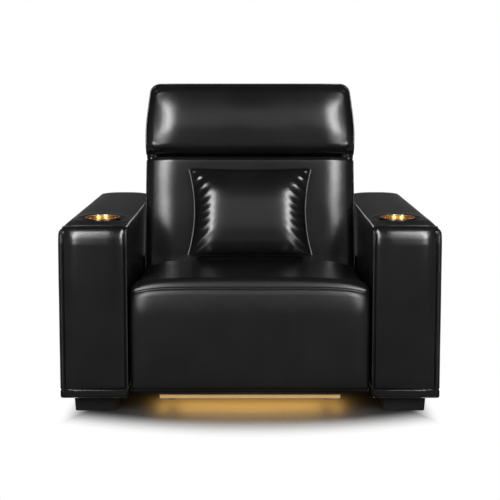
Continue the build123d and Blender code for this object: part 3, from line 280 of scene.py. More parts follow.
def change(piece, kind, **settings):
    """Applies a modifier to a piece's mesh."""
    modifier = piece.modifiers.new(kind, kind)
    for name, value in settings.items():
        setattr(modifier, name, value)
    dg = bpy.context.evaluated_depsgraph_get()
    mesh = bpy.data.meshes.new_from_object(piece.evaluated_get(dg))
    piece.modifiers.clear()
    piece.data = mesh


def carve(piece, cutter):
    """Takes the cutter's shape out of a piece and removes the cutter."""
    change(piece, "BOOLEAN", operation="DIFFERENCE", solver="EXACT", object=cutter)
    smooth(piece.data)
    bpy.data.objects.remove(cutter)


def cut_round(piece, centre, radius, low, high):
    """Cuts a round well out of a piece."""
    bpy.ops.mesh.primitive_cylinder_add(
        vertices=CIRCLE_STEPS, radius=radius * MM, depth=(high - low) * MM,
        location=(centre[0] * MM, centre[1] * MM, (low + high) / 2 * MM))
    carve(piece, bpy.context.object)


def rounded_outline(low, high, radius):
    """Closed outline of a box with round corners, in Y and Z."""
    front, rear = low[1] + radius, high[1] - radius
    foot, top = low[2] + radius, high[2] - radius
    outline = []
    for turn, (y, z) in enumerate(((rear, top), (front, top), (front, foot), (rear, foot))):
        for k in range(CORNER_STEPS + 1):
            a = math.pi / 2 * (turn + k / CORNER_STEPS)
            outline.append((y + radius * math.cos(a), z + radius * math.sin(a)))
    return outline


def cut_window(piece, low, high, radius):
    """Cuts a window with round corners, seen along X, out of a piece."""
    outline = rounded_outline(low, high, radius)
    points = [(x, y, z) for x in (low[0], high[0]) for y, z in outline]
    cutter = mesh_object("cutter", points, loft(2, len(outline)), LEATHER)
    recalculate(cutter)
    carve(piece, cutter)


def mirrored(points, side):
    """Points of the left arm, or of the right one where side is -1."""
    return [(side * p[0], p[1], p[2]) for p in points]


def turned(faces, side):
    """Faces that still point outwards after mirrored."""
    return faces if side > 0 else [tuple(f)[::-1] for f in faces]


def on_back(x, s, t):
    """World point at x across, s up the slope of the back and t behind its face."""
    y = BACK_FOOT_Y + s * math.sin(BACK_LEAN) + t * math.cos(BACK_LEAN)
    z = BACK_FOOT_Z + s * math.cos(BACK_LEAN) - t * math.sin(BACK_LEAN)
    return np.stack(np.broadcast_arrays(x, y, z), axis=-1)


# ------ materials
TONES = (0.78, 1.25)  # darkest and palest share of a leather's colour
LEATHER_RUB = (-0.01, 0.015)  # spread of the roughness
METAL_RUB = (-0.06, 0.08)


def set_sockets(node, **inputs):
    """Puts values on a node's sockets, _ standing for a space in their names."""
    for socket, value in inputs.items():
        node.inputs[socket.replace("_", " ")].default_value = value


def add_node(tree, kind, **inputs):
    node = tree.nodes.new("ShaderNode" + kind)
    set_sockets(node, **inputs)
    return node


def material(name, colour, roughness, metallic=0.0):
    """A new material, its node tree and its shader."""
    m = bpy.data.materials.new(name)
    m.use_nodes = True
    shader = m.node_tree.nodes["Principled BSDF"]
    set_sockets(shader, Base_Color=(*colour, 1), Roughness=roughness, Metallic=metallic)
    return m, m.node_tree, shader


def add_noise(tree, scale, detail, kind="TexNoise", stretch=(1, 1, 1)):
    """Output of a noise texture on the piece's own coordinates."""
    place = add_node(tree, "TexCoord")
    shift = add_node(tree, "Mapping", Scale=stretch)
    texture = add_node(tree, kind, Scale=scale, Detail=detail)
    tree.links.new(place.outputs["Object"], shift.inputs["Vector"])
    tree.links.new(shift.outputs["Vector"], texture.inputs["Vector"])
    return texture.outputs[0]


def vary_colour(tree, shader, source, stops):
    """Colours from one stop to the other along a noise. stops holds (position, colour)."""
    node = add_node(tree, "ValToRGB")
    for element, (place, colour) in zip(node.color_ramp.elements, stops):
        element.position = place
        element.color = (*colour, 1)
    tree.links.new(source, node.inputs["Fac"])
    tree.links.new(node.outputs["Color"], shader.inputs["Base Color"])


def vary_roughness(tree, shader, source, roughness, spread):
    """Spreads the roughness along a noise."""
    span = add_node(tree, "MapRange", To_Min=roughness + spread[0], To_Max=roughness + spread[1])
    tree.links.new(source, span.inputs["Value"])
    tree.links.new(span.outputs["Result"], shader.inputs["Roughness"])


def bump(tree, shader, heights):
    """Chains bump nodes, coarse first. heights holds (socket, strength, distance)."""
    normal = None
    for socket, strength, distance in heights:
        node = add_node(tree, "Bump", Strength=strength, Distance=distance)
        tree.links.new(socket, node.inputs["Height"])
        if normal:
            tree.links.new(normal, node.inputs["Normal"])
        normal = node.outputs["Normal"]
    tree.links.new(normal, shader.inputs["Normal"])


def leather(name, colour, roughness, gloss=0.3, grain=0.06):
    m, tree, shader = material(name, colour, roughness)
    set_sockets(shader, Specular_IOR_Level=gloss)
    dark, pale = (tuple(c * share for c in colour) for share in TONES)
    tone = add_noise(tree, scale=9.0, detail=5.0)
    rub = add_noise(tree, scale=26.0, detail=6.0)
    slack = add_noise(tree, scale=14.0, detail=3.0)
    pebble = add_noise(tree, scale=850.0, detail=0.0, kind="TexVoronoi")
    pore = add_noise(tree, scale=1900.0, detail=2.0)
    vary_colour(tree, shader, tone, ((0.35, dark), (0.7, pale)))
    vary_roughness(tree, shader, rub, roughness, LEATHER_RUB)
    bump(tree, shader, ((slack, 0.05, 0.004), (pebble, grain, 0.0006),
                        (pore, grain * 0.6, 0.0004)))
    return m


def metal(name, colour, roughness, stretch=(1, 1, 1), metallic=1.0, scale=300.0):
    m, tree, shader = material(name, colour, roughness, metallic)
    brush = add_noise(tree, scale, detail=4.0, stretch=stretch)
    vary_roughness(tree, shader, brush, roughness, METAL_RUB)
    bump(tree, shader, ((brush, 0.06, 0.0004),))
    return m


def plastic(name, colour, roughness):
    return metal(name, colour, roughness, metallic=0.0, scale=900.0)


def plywood(name):
    m, tree, shader = material(name, (0.6, 0.44, 0.27), 0.62)
    grain = add_noise(tree, scale=22.0, detail=6.0, stretch=(6, 0.7, 6))
    vary_colour(tree, shader, grain, ((0.3, (0.45, 0.30, 0.17)), (0.72, (0.68, 0.52, 0.33))))
    bump(tree, shader, ((grain, 0.2, 0.0008),))
    return m


def glow(name):
    m, tree, shader = material(name, (0.3, 0.18, 0.06), 0.4)
    set_sockets(shader, Emission_Color=(1.0, 0.58, 0.18, 1), Emission_Strength=0.3)
    milk = add_noise(tree, scale=60.0, detail=2.0)
    vary_colour(tree, shader, milk, ((0.2, (0.30, 0.17, 0.05)), (0.8, (0.36, 0.21, 0.07))))
    return m


BLACK = (0.0032, 0.0031, 0.003)
LEATHER = leather("black_leather", BLACK, 0.2, gloss=0.27)
SEAT_LEATHER = leather("seat_leather", BLACK, 0.31, gloss=0.25)
PILLOW_LEATHER = leather("pillow_leather", BLACK, 0.2, gloss=0.27)
SHELL_LEATHER = leather("shell_leather", (0.008, 0.0078, 0.0076), 0.42, gloss=0.35)
# pale colour: on the arm's inner edge piping it is a painted highlight, on the pillow it is pale
# stitching
PALE_THREAD_AND_HIGHLIGHT = leather("pale_thread_and_painted_highlight", (0.3, 0.295, 0.29), 0.5)
PIPING = leather("piping_leather", (0.016, 0.0156, 0.0152), 0.3, gloss=0.8)
THREAD = leather("black_thread", (0.03, 0.029, 0.028), 0.55, grain=0.4)
BRASS = metal("cup_brass", (0.5, 0.24, 0.05), 0.26, stretch=(1, 1, 0.05))
STEEL_RIM = metal("rim_steel", (0.85, 0.83, 0.80), 0.34)
SWITCH = plastic("switch_plastic", (0.02, 0.02, 0.021), 0.35)
# a name already in use gets a number behind a dot
SLOT_MATERIALS = {m.name.split(".")[0]: m for m in (
    SHELL_LEATHER, BRASS, SWITCH, plywood("plywood"), glow("led_light"),
    leather("foot_black", (0.006, 0.006, 0.006), 0.5, gloss=0.12),
    metal("frame_black", (0.03, 0.03, 0.032), 0.42, metallic=0.2, scale=700.0),
    metal("spring_steel", (0.32, 0.31, 0.31), 0.34),
    metal("zinc_steel", (0.62, 0.62, 0.60), 0.3),
    metal("rod_steel", (0.75, 0.75, 0.76), 0.12),
    metal("led_aluminium", (0.72, 0.72, 0.73), 0.32, stretch=(0.05, 1, 1)),
    plastic("motor_plastic", (0.045, 0.045, 0.047), 0.5),
    plastic("button_plastic", (0.09, 0.09, 0.094), 0.3),
)}
SLOT_MATERIALS["leather"] = LEATHER
SLOT_MATERIALS["cup_steel"] = metal("bezel_dark", (0.05, 0.048, 0.046), 0.25)
for part in frame["record"]["subparts"]:
    node = frame["nodes"][part["node"]]
    node.data.materials.clear()
    node.data.materials.append(SLOT_MATERIALS[part["material_slot"]])


# ------ pieces on the bodies
SHELL_WALL, SHELL_FILL = 5.0, 0.7


def settle(piece, body):
    """A piece of trim rides on a body."""
    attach(piece, body)


def stand_for(cover, node, body):
    """A padded cover rides on a body and stands for a CAD node."""
    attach(cover, body)
    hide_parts(node)


def dress(name, points, faces, body, node, finish=LEATHER):
    """A cover in place of a CAD node. A shell's open skin gets a wall."""
    cover = mesh_object(name, points, faces, finish)
    recalculate(cover)
    if finish is SHELL_LEATHER:
        change(cover, "SOLIDIFY", thickness=SHELL_WALL * MM, offset=-1.0)
    stand_for(cover, node, body)


def trim(name, path, radius, body, finish=LEATHER, **shape):
    """A piping that rides on a body."""
    settle(tube(name, path, radius, finish, **shape), body)


# ------ arms
ARM_EDGE = 7.0
ARM_SHOULDER_ROUND = 24.0
ARM_SLACK = 0.4
PANEL_IN, PANEL_OUT = INNER_X + 6.5, OUTER_X - 14.5
PANEL_TOP, PANEL_LOW = ARM_SHOULDER - 1.5, ARM_BOTTOM + 26.0
ARM_CROWN = 10.0
CROWN_FRONT = 0.25  # share of the crown at the front edge
CROWN_START, CROWN_FULL = FRONT_Y + 10, FRONT_Y + 95
REAR_SAG, REAR_SAG_ROLL = 3.0, 40.0
DIMPLE, DIMPLE_WIDTH = 3.4, 9.0  # round the cup holder
SWELL, SWELL_WIDTH, SWELL_AWAY = 1.6, 12.0, 24.0
TOP_FALL, TOP_ROLL, TOP_DEPTH = 15.0, 52.0, 75.0
SIDE_FALL, SIDE_ROLL = 6.0, 44.0
LOW_FALL, LOW_ROLL = 5.0, 30.0
BELLY, BELLY_ROLL = 6.0, 40.0
PANEL_SEAM, PANEL_SEAM_WIDTH = 3.5, 2.0
LOW_SEAM, LOW_SEAM_WIDTH = 2.2, 2.6
FRAME_COVER, FRAME_SLOPE = 10.0, 3.0  # leather over the arm frame, more above its top
FRAME_TOP = ARM_SHOULDER - 13.0
WELL_LOW, WELL_HIGH, WELL_OVERLAP = 460.0, 620.0, 0.4
SWITCH_ROUND = 8.0
WINDOW_DEPTH, WINDOW_GAP = 20.0, 0.3
RING_GAP, RING_RISE, RING_RADIUS = 0.8, 0.1, 1.5
RIM_RISE, RIM_RADIUS, RIM_WIRE = 0.8, 50.2, 1.3
THROAT_PROFILE = ((49.2, 0.0), (48.6, -3.0), (47.4, -9.0), (46.0, -16.0), (45.0, -23.0),
                  (44.6, -30.0), (46.0, -30.0), (48.9, -9.0))  # radius and height


def straight(x, y, z, count):
    """Points of a straight line. A coordinate is a number, or the pair of its ends."""
    first, last = np.array([np.broadcast_to(c, 2) for c in (x, y, z)]).T
    return np.linspace(first, last, count)


DARK_PIPING, PAINTED_HIGHLIGHT_PIPING = 1.9, 1.6  # radii; the second is for the pale piping that is a painted highlight on the arm's inner edge
ARM_PIPINGS = {
    "inner_edge": straight(INNER_X + 1.6, (FRONT_Y + 8, REAR_Y - 8), ARM_SHOULDER - 1.6, 70),
    "front_top": straight((PANEL_IN - 2, PANEL_OUT + 6), FRONT_Y + 3.0, ARM_SHOULDER - 1.0, 30),
    "front_inner": straight(PANEL_IN - 3.2, FRONT_Y + 1.0, (ARM_BOTTOM + 3, PANEL_TOP), 60),
    "front_outer": straight(PANEL_OUT + 3.4, FRONT_Y + 0.5, (ARM_BOTTOM + 3, PANEL_TOP + 4), 60),
}
ARM_STITCHES = {
    "inner": straight(INNER_X + 1.2, FRONT_Y + 4.0, (ARM_BOTTOM + 16, ARM_SHOULDER - 12), 90),
    "outer": straight(OUTER_X - 7.0, FRONT_Y + 0.3, (ARM_BOTTOM + 16, ARM_SHOULDER - 26), 90),
}


def arm_shape(points):
    """Crowned top, puffed front and rear panels, and the seams round them."""
    x, y, z = points.T.copy()
    out, high = round_corner(OUTER_X - x, ARM_SHOULDER - z, ARM_SHOULDER_ROUND)
    x, z = OUTER_X - out, ARM_SHOULDER - high
    top = ease(z, ARM_SHOULDER - ARM_EDGE, ARM_SHOULDER)
    middle, half = (INNER_X + OUTER_X) / 2, (OUTER_X - INNER_X) / 2
    rise = ARM_CROWN * (1 - np.abs((x - middle) / half) ** 3)
    rise = rise * (CROWN_FRONT + (1 - CROWN_FRONT) * ease(y, CROWN_START, CROWN_FULL))
    sag = REAR_SAG * (1 - roll(REAR_Y - y, REAR_SAG_ROLL))
    from_cup = np.hypot(x - CUP_X, y - CUP_Y) - CUP_RADIUS
    dimple = DIMPLE * groove(from_cup, DIMPLE_WIDTH)
    dimple = dimple - SWELL * groove(from_cup - SWELL_AWAY, SWELL_WIDTH)
    level = z.copy()
    z = z + top * (rise - sag - dimple)
    for end in (-1, 1):
        depth = REAR_Y - end * y
        near, face = 1 - ease(depth, 0.0, TOP_DEPTH), 1 - ease(depth, 1.0, ARM_EDGE)
        inner, outer = x - PANEL_IN, PANEL_OUT - x
        upper, lower = PANEL_TOP - level, level - PANEL_LOW
        inside = np.minimum.reduce((inner, outer, upper, lower))
        fall = TOP_FALL * (1 - crown(upper, TOP_ROLL)) * near
        sides = SIDE_FALL * np.maximum(1 - crown(inner, SIDE_ROLL), 1 - crown(outer, SIDE_ROLL))
        foot = LOW_FALL * (1 - roll(lower, LOW_ROLL))
        seam = PANEL_SEAM * groove(inside, PANEL_SEAM_WIDTH)
        sunk = face * (sides + foot + seam - BELLY * roll(inside, BELLY_ROLL))
        room = FRAME_COVER + FRAME_SLOPE * np.maximum(0, level - FRAME_TOP)
        y = y - end * np.minimum(fall + sunk, np.maximum(room, fall))
    outwards = np.sign(x - middle) * ease(np.abs(x - middle), half - ARM_EDGE, half)
    x = x - outwards * LOW_SEAM * groove(level - PANEL_LOW, LOW_SEAM_WIDTH)
    return np.array([x, y, z]).T


def open_switch(cover):
    """A window for the switch in the right arm, and a thin frame round it."""
    outside = SWITCH_LOW - (WINDOW_DEPTH, WINDOW_GAP, WINDOW_GAP)
    cut_window(cover, outside, SWITCH_HIGH + WINDOW_GAP, SWITCH_ROUND)
    edge = rounded_outline(SWITCH_LOW - RING_GAP, SWITCH_HIGH + RING_GAP, SWITCH_ROUND)
    path = [(-OUTER_X - RING_RISE, y, z) for y, z in edge]
    ring = tube("switch_frame", path, RING_RADIUS, SWITCH, closed=True, sides=10)
    settle(ring, "base")


def build_arm(side, hand):
    xs = spaced(INNER_X, OUTER_X, 9.0, ((INNER_X + 6, 6.0, 1.4), (PANEL_IN, 7.0, 1.1),
                                        (PANEL_OUT, 7.0, 1.1), (OUTER_X - 6, 6.0, 1.6)))
    ys = spaced(FRONT_Y, REAR_Y, 14.0, ((FRONT_Y + 6, 6.0, 1.6), (REAR_Y - 6, 6.0, 1.6),
                                        (CUP_Y, 80.0, 6.0)))
    zs = spaced(ARM_BOTTOM, ARM_SHOULDER, 11.0,
                ((ARM_BOTTOM + 7, 7.0, 1.8), (PANEL_LOW, 7.0, 1.3), (PANEL_TOP - 36, 34.0, 3.5),
                 (PANEL_TOP, 6.0, 1.1)))
    points, faces = block(xs, ys, zs, ARM_EDGE)
    points = arm_shape(points)
    points[:, 0] += ARM_SLACK * ripple(points, scale=90.0, seed=3.0 + side)
    points, faces = mirrored(points, side), turned(faces, side)
    cover = mesh_object(f"{hand}_arm_leather", points, faces, LEATHER)
    cut_round(cover, (side * CUP_X, CUP_Y), CUP_RADIUS - WELL_OVERLAP, WELL_LOW, WELL_HIGH)
    if side < 0:
        open_switch(cover)
    stand_for(cover, f"{hand}_arm_cover", "base")
    for label, line in ARM_PIPINGS.items():
        # the inner edge piping is pale leather, a painted highlight along the arm's top inner edge
        pale = label == "inner_edge"
        radius, finish = (PAINTED_HIGHLIGHT_PIPING, PALE_THREAD_AND_HIGHLIGHT) if pale else (DARK_PIPING, LEATHER)
        path = mirrored(arm_shape(line), side)
        trim(f"{hand}_{label}_piping", path, radius, "base", finish)
    for label, line in ARM_STITCHES.items():
        path = mirrored(arm_shape(line), side)
        settle(stitches(f"{hand}_{label}_stitches", path, THREAD), "base")


def build_rim(side, hand):
    """Bright ring at the mouth of a cup holder, and the flared throat below it."""
    def spot(radius, turn, height):
        return (side * CUP_X + radius * math.cos(turn), CUP_Y + radius * math.sin(turn),
                CUP_HIGH[2] + RIM_RISE + height)

    turns = np.linspace(0, 2 * math.pi, CIRCLE_STEPS + 1)[:-1]
    circle = [spot(RIM_RADIUS, a, 0.0) for a in turns]
    rim = tube(f"{hand}_cup_rim", circle, RIM_WIRE, STEEL_RIM, closed=True, sides=12)
    settle(rim, "base")
    points = [spot(radius, a, height) for a in turns for radius, height in THROAT_PROFILE]
    faces = loft(CIRCLE_STEPS, len(THROAT_PROFILE), closed=True)
    throat = mesh_object(f"{hand}_cup_throat", points, faces, BRASS)
    recalculate(throat)
    settle(throat, "base")


for arm_side, arm_hand in SIDES:
    build_arm(arm_side, arm_hand)
    build_rim(arm_side, arm_hand)


# ------ seat and legrest
SEAT_EDGE = 16.0
FRONT_DROP, REAR_DROP = (2.0, 22.0), (4.0, 34.0)  # a wide and a steep part
SEAM_ANGLES = (30.0, 21.8)  # of the two rows of the seam, on the front roll
SEAM_Z = [HINGE_Z + NOSE * math.sin(math.radians(a)) for a in SEAM_ANGLES]
SEAM_DEPTH, SEAM_WIDTH = 2.6, 0.85
SEAM_SWELL, SEAM_SWELL_WIDTH = 0.9, 14.0
HEM_Z = PAD_LOW[2] + 15.0
HEM_DEPTH, HEM_WIDTH = 2.4, 2.2
PUFF, PUFF_ROLL = 12.0, 62.0  # of the front panel
PUFF_FOOT, PUFF_FOOT_ROLL = 0.6, 60.0
RECESS, RECESS_BELOW, RECESS_ABOVE = 8.0, 78.0, 34.0
PANEL_BELLY, BELLY_FOOT, BELLY_SIDE = 6.0, 60.0, 50.0
DOME = 3.0
TOP_SLACK, PANEL_SLACK = 0.9, 1.1
ON_SURFACE = 0.6  # of the plain roll


def seat_section():
    """Closed outline in Y and Z: seat top, front roll, front panel, its back and underside."""
    outline = []

    def line(a, b, step):
        count = max(1, int(math.dist(a, b) / step))
        for i in range(count):
            f = i / count
            outline.append((a[0] + (b[0] - a[0]) * f, a[1] + (b[1] - a[1]) * f))

    def arc(centre, radius, first, last, step):
        count = max(2, int(abs(math.radians(last - first)) * radius / step))
        for i in range(count):
            a = math.radians(first + (last - first) * i / count)
            outline.append((centre[0] + radius * math.cos(a), centre[1] + radius * math.sin(a)))

    rear, top, rear_round = SEAT_HIGH[1] + 4.0, SEAT_HIGH[2] - 15.0, 18.0
    foot, foot_round, hem_top = PAD_LOW[2], 19.0, PAD_LOW[2] + 30
    pad_rear, pad_round = PAD_HIGH[1], 8.0
    under, inner_round, under_round = SEAT_LOW[2] + 12.0, 14.0, 12.0
    arc((rear - rear_round, top - rear_round), rear_round, 0, 90, 5.0)
    line((rear - rear_round, top), (HINGE_Y, HINGE_Z + NOSE), 9.0)
    arc((HINGE_Y, HINGE_Z), NOSE, 90, 180, 0.75)
    line((FRONT_Y, HINGE_Z), (FRONT_Y, hem_top), 9.0)
    line((FRONT_Y, hem_top), (FRONT_Y, foot + foot_round), 1.4)
    arc((FRONT_Y + foot_round, foot + foot_round), foot_round, 180, 270, 2.5)
    line((FRONT_Y + foot_round, foot), (pad_rear - pad_round, foot), 6.0)
    arc((pad_rear - pad_round, foot + pad_round), pad_round, 270, 360, 3.0)
    line((pad_rear, foot + pad_round), (pad_rear, under - inner_round), 12.0)
    arc((pad_rear + inner_round, under - inner_round), inner_round, 180, 90, 4.0)
    line((pad_rear + inner_round, under), (rear - under_round, under), 12.0)
    arc((rear - under_round, under + under_round), under_round, 270, 360, 4.0)
    line((rear, under + under_round), (rear, top - rear_round), 6.0)
    return np.array(outline)


def seat_drop(x, y):
    """Fall of the seat's top towards its sides, more at the back than at the front."""
    u = np.abs(x) / CUSHION_X
    back = ease(y, HINGE_Y - 10, HINGE_Y + 190)
    front_drop, rear_drop = (wide * u ** 2 + steep * u ** 8
                             for wide, steep in (FRONT_DROP, REAR_DROP))
    return front_drop * (1 - back) + rear_drop * back


def seat_shape(x, ring, normal):
    """One cross-section of the seat at x."""
    depth, level = ring.T
    to_side = CUSHION_X - abs(x)
    inset = SEAT_EDGE * (1 - roll(to_side, SEAT_EDGE))
    y, z = depth - normal[:, 0] * inset, level - normal[:, 1] * inset
    front = ease(-depth, -FRONT_Y - 14.0, -FRONT_Y)
    puff = PUFF_FOOT + (1 - PUFF_FOOT) * roll(level - HEM_Z, PUFF_FOOT_ROLL)
    y = y + front * PUFF * (1 - roll(to_side, PUFF_ROLL) * puff)
    below = SEAM_Z[1] - level
    belly = crown(below, RECESS_BELOW) * roll(level - PAD_LOW[2], BELLY_FOOT)
    belly = PANEL_BELLY * belly * roll(to_side, BELLY_SIDE)
    recess = RECESS * (1 - crown(below, RECESS_BELOW)) * (1 - ease(-below, 0, RECESS_ABOVE))
    nose = ease(-depth, -HINGE_Y - 4.0, -FRONT_Y - 8.0)
    y = y + nose * (recess - belly)
    z = z - ease(level, HINGE_Z - 60, HINGE_Z + NOSE) * seat_drop(x, y)
    dome = DOME * (1 - (x / CUSHION_X) ** 2)
    z = z + dome * ease(level, HINGE_Z + 30, HINGE_Z + NOSE)
    return y, z


def seat_seams(ring):
    """Depth of the seams along the outline: two rows on the roll, and the hem."""
    depth, level = ring.T
    from_hinge = np.hypot(depth - HINGE_Y, level - HINGE_Z)
    on_nose = (np.abs(from_hinge - NOSE) < ON_SURFACE) & (depth < HINGE_Y) & (level >= HINGE_Z)
    rows = sum(SEAM_DEPTH * groove(level - seam_z, SEAM_WIDTH) for seam_z in SEAM_Z)
    swell = SEAM_SWELL * groove(level - sum(SEAM_Z) / 2, SEAM_SWELL_WIDTH)
    on_front = np.abs(depth - FRONT_Y) < 2.0
    return on_nose * (rows - swell) + on_front * HEM_DEPTH * groove(level - HEM_Z, HEM_WIDTH)


def build_seat():
    ring = seat_section()
    way = np.roll(ring, -1, axis=0) - np.roll(ring, 1, axis=0)
    normal = np.array([way[:, 1], -way[:, 0]]).T
    normal = normal / np.linalg.norm(normal, axis=1)[:, None]
    seams = seat_seams(ring)
    xs = spaced_across(CUSHION_X, 12.0, (22, 22.0, 2.2), (60, 16.0, 5.0))
    points = []
    for x in xs:
        y, z = seat_shape(x, ring, normal)
        y, z = y - normal[:, 0] * seams, z - normal[:, 1] * seams
        points += [(x, a, b) for a, b in zip(y, z)]
    points = np.array(points)
    points[:, 2] += TOP_SLACK * ripple(points, 120.0, 11.0) * ease(points[:, 2], 330, 390)
    points[:, 1] += PANEL_SLACK * ripple(points, 140.0, 23.0) * ease(-points[:, 1], 400, 430)
    cover = mesh_object("seat_leather", points, loft(len(xs), len(ring)), SEAT_LEATHER)
    recalculate(cover)
    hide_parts("seat_cushion", "legrest_pad")
    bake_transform(cover)


build_seat()


# ------ back
BACK_REAR = 111.5
BACK_PIPING = 2.0
BACK_ROUND = 20.0
BACK_FALL, BACK_CROWN = 17.0, 110.0
EDGE_FALL, EDGE_ROLL = 16.0, 30.0
BACK_TOP_FALL, BACK_TOP_ROLL = 9.0, 20.0
BACK_SEAM, BACK_SEAM_WIDTH, BACK_SEAM_IN = 2.6, 2.2, 8.0
FOOT_PUFF, FOOT_HEIGHT, FOOT_PUFF_CROWN, FOOT_WIDER = 2.0, 60.0, 80.0, 2.0
BACK_SLACK = 1.6
SHELL_REAR = 173.5
SHELL_LOW = -9.5
SHELL_LINE_X, SHELL_LINE, SHELL_LINE_WIDTH = 118.0, 2.2, 2.4
SHELL_BAND_S, SHELL_BAND = 262.0, 2.4
SHELL_PUFF, SHELL_PUFF_CROWN = 3.0, 40.0
SHELL_PIPING_IN = 4.5


def shell_lines(x):
    """Depth of the two upright seams on the shells of back and headrest."""
    return SHELL_LINE * groove(np.abs(x) - SHELL_LINE_X, SHELL_LINE_WIDTH)


def back_form(x, t, s):
    """Puts a point of the plain back block on the padded form, and into the world."""
    side, high = round_corner(CUSHION_X - np.abs(x), BACK_HEIGHT - s, BACK_ROUND)
    front = 1 - ease(t, 0.0, BACK_REAR * 0.8)
    fall = BACK_FALL * (1 - crown(side, BACK_CROWN)) + EDGE_FALL * (1 - roll(side, EDGE_ROLL))
    fall = fall + BACK_TOP_FALL * (1 - roll(high, BACK_TOP_ROLL))
    seam = BACK_SEAM * groove(np.minimum(side, high) - BACK_SEAM_IN, BACK_SEAM_WIDTH)
    puff = FOOT_PUFF * hump(s / FOOT_HEIGHT) * crown(side, FOOT_PUFF_CROWN)
    wider = 1 + FOOT_WIDER * ease(s, BACK_HEIGHT, FOOT_HEIGHT) / CUSHION_X
    across = np.sign(x) * (CUSHION_X - side) * wider
    return on_back(across, BACK_HEIGHT - high, t + front * (fall + seam - puff))


def build_back():
    xs = spaced_across(CUSHION_X, 11.0, (24, 24.0, 2.6))
    ts = spaced(0, BACK_REAR, 9.0, ((10, 10.0, 2.5),))
    ss = spaced(0.5, BACK_HEIGHT, 11.0, ((BACK_HEIGHT - 26, 26.0, 2.6), (16, 16.0, 4.0)))
    points, faces = block(xs, ts, ss, 13.0)
    place = back_form(*points.T)
    place[:, 1] += BACK_SLACK * ripple(place, 120.0, 37.0) * ease(-place[:, 1], -170, -60)
    dress("back_leather", place, faces, "back", "back_cushion")
    for side, hand in SIDES:
        path = back_form(side * (CUSHION_X - 3.0), 1.0, np.linspace(14, BACK_HEIGHT - 4, 70))
        trim(f"{hand}_back_piping", path, BACK_PIPING, "back")


def build_back_shell():
    half = CUSHION_X - 0.5
    xs = spaced_across(half, 12.0, (18, 18.0, 3.0))
    ts = spaced(BACK_REAR + 1.0, SHELL_REAR, 8.0, ((SHELL_REAR - 10, 10.0, 2.5),))
    ss = spaced(SHELL_LOW, BACK_HEIGHT - 0.5, 12.0)
    points, faces = block(xs, ts, ss, 14.0, without=((1, 0), (2, 0), (2, -1)))
    x, t, s = points.T
    sunk = shell_lines(x) + SHELL_BAND * groove(s - SHELL_BAND_S, SHELL_LINE_WIDTH)
    to_seam = np.minimum(np.abs(np.abs(x) - SHELL_LINE_X), half - np.abs(x))
    sunk = sunk + SHELL_PUFF * (1 - crown(to_seam, SHELL_PUFF_CROWN))
    place = on_back(x, s, t - ease(t, SHELL_REAR - 12.0, SHELL_REAR) * sunk)
    dress("back_shell_leather", place, faces, "back", "back_shell", SHELL_LEATHER)
    for side, hand in SIDES:
        path = on_back(side * (half - SHELL_PIPING_IN), np.linspace(SHELL_LOW, BACK_HEIGHT, 50),
                       SHELL_REAR - SHELL_PIPING_IN)
        trim(f"{hand}_back_shell_piping", path, BACK_PIPING, "back", SHELL_LEATHER)


build_back()
build_back_shell()


# ------ headrest
HEAD_HEIGHT = HEAD_TOP - HEAD_BASE
HEAD_FRONT, HEAD_REAR = -28.0, 61.4
HEAD_CORNER = 34.0
HEAD_NARROWER = 16.0  # at the top
HEAD_WAIST = 2.0
HEAD_FULL = 98.0  # height of the foremost line above the foot
HEAD_FALL, HEAD_CROWN = 20.5, 115.0
HEAD_LEAN, HEAD_TOP_FALL, HEAD_TOP_ROLL = 24.0, 26.0, 34.0
HEAD_UNDER, HEAD_LOW_FALL, HEAD_LOW_ROLL = 15.0, 32.0, 36.0
BELL_LEAST, BELL_MORE, BELL_MIDDLE, BELL_HALF = 0.35, 0.55, 130.0, 116.0
HEAD_OVERLAP = 0.8  # share of the smaller fall where two of them meet
HEAD_SEAM, HEAD_SEAM_WIDTH, HEAD_SEAM_IN = 2.8, 2.2, 7.5
PUCKER_WIDTH = 70.0
HEAD_SLACK = 1.3
HEAD_SHELL_REAR = 173.0
HEAD_SHELL_S = (HEAD_BASE, HEAD_BASE + 42, HEAD_TOP)
HEAD_SHELL_T = (HEAD_SHELL_REAR, 172.0, 84.0)
KNOT_ROWS = 20
KNOT_IN, KNOT_LENGTH, KNOT_T = 24.0, 22.0, 36.0
KNOT_RADIUS_S, KNOT_RADIUS_T = 18.0, 24.0
KNOT_FOLDS, KNOT_FOLD = 11, 0.09
NECK_RADIUS, NECK_T, NECK_WAVE, NECK_WAVE_LENGTH = 10.5, 76.0, 0.8, 37.0


def head_half(s):
    """Half width of the headrest at height s, narrower at the top."""
    return CUSHION_X - HEAD_NARROWER * ease(s, HEAD_BASE + 60, HEAD_TOP + 30)


def pucker(from_end, side, rate, slant, reach):
    """Small folds at a corner of the headrest."""
    wave = np.sin(from_end * rate + side * slant) * groove(from_end, reach)
    return wave * (1 - np.clip(side / PUCKER_WIDTH, 0, 1)) ** 2 * ease(side, 2, 14)


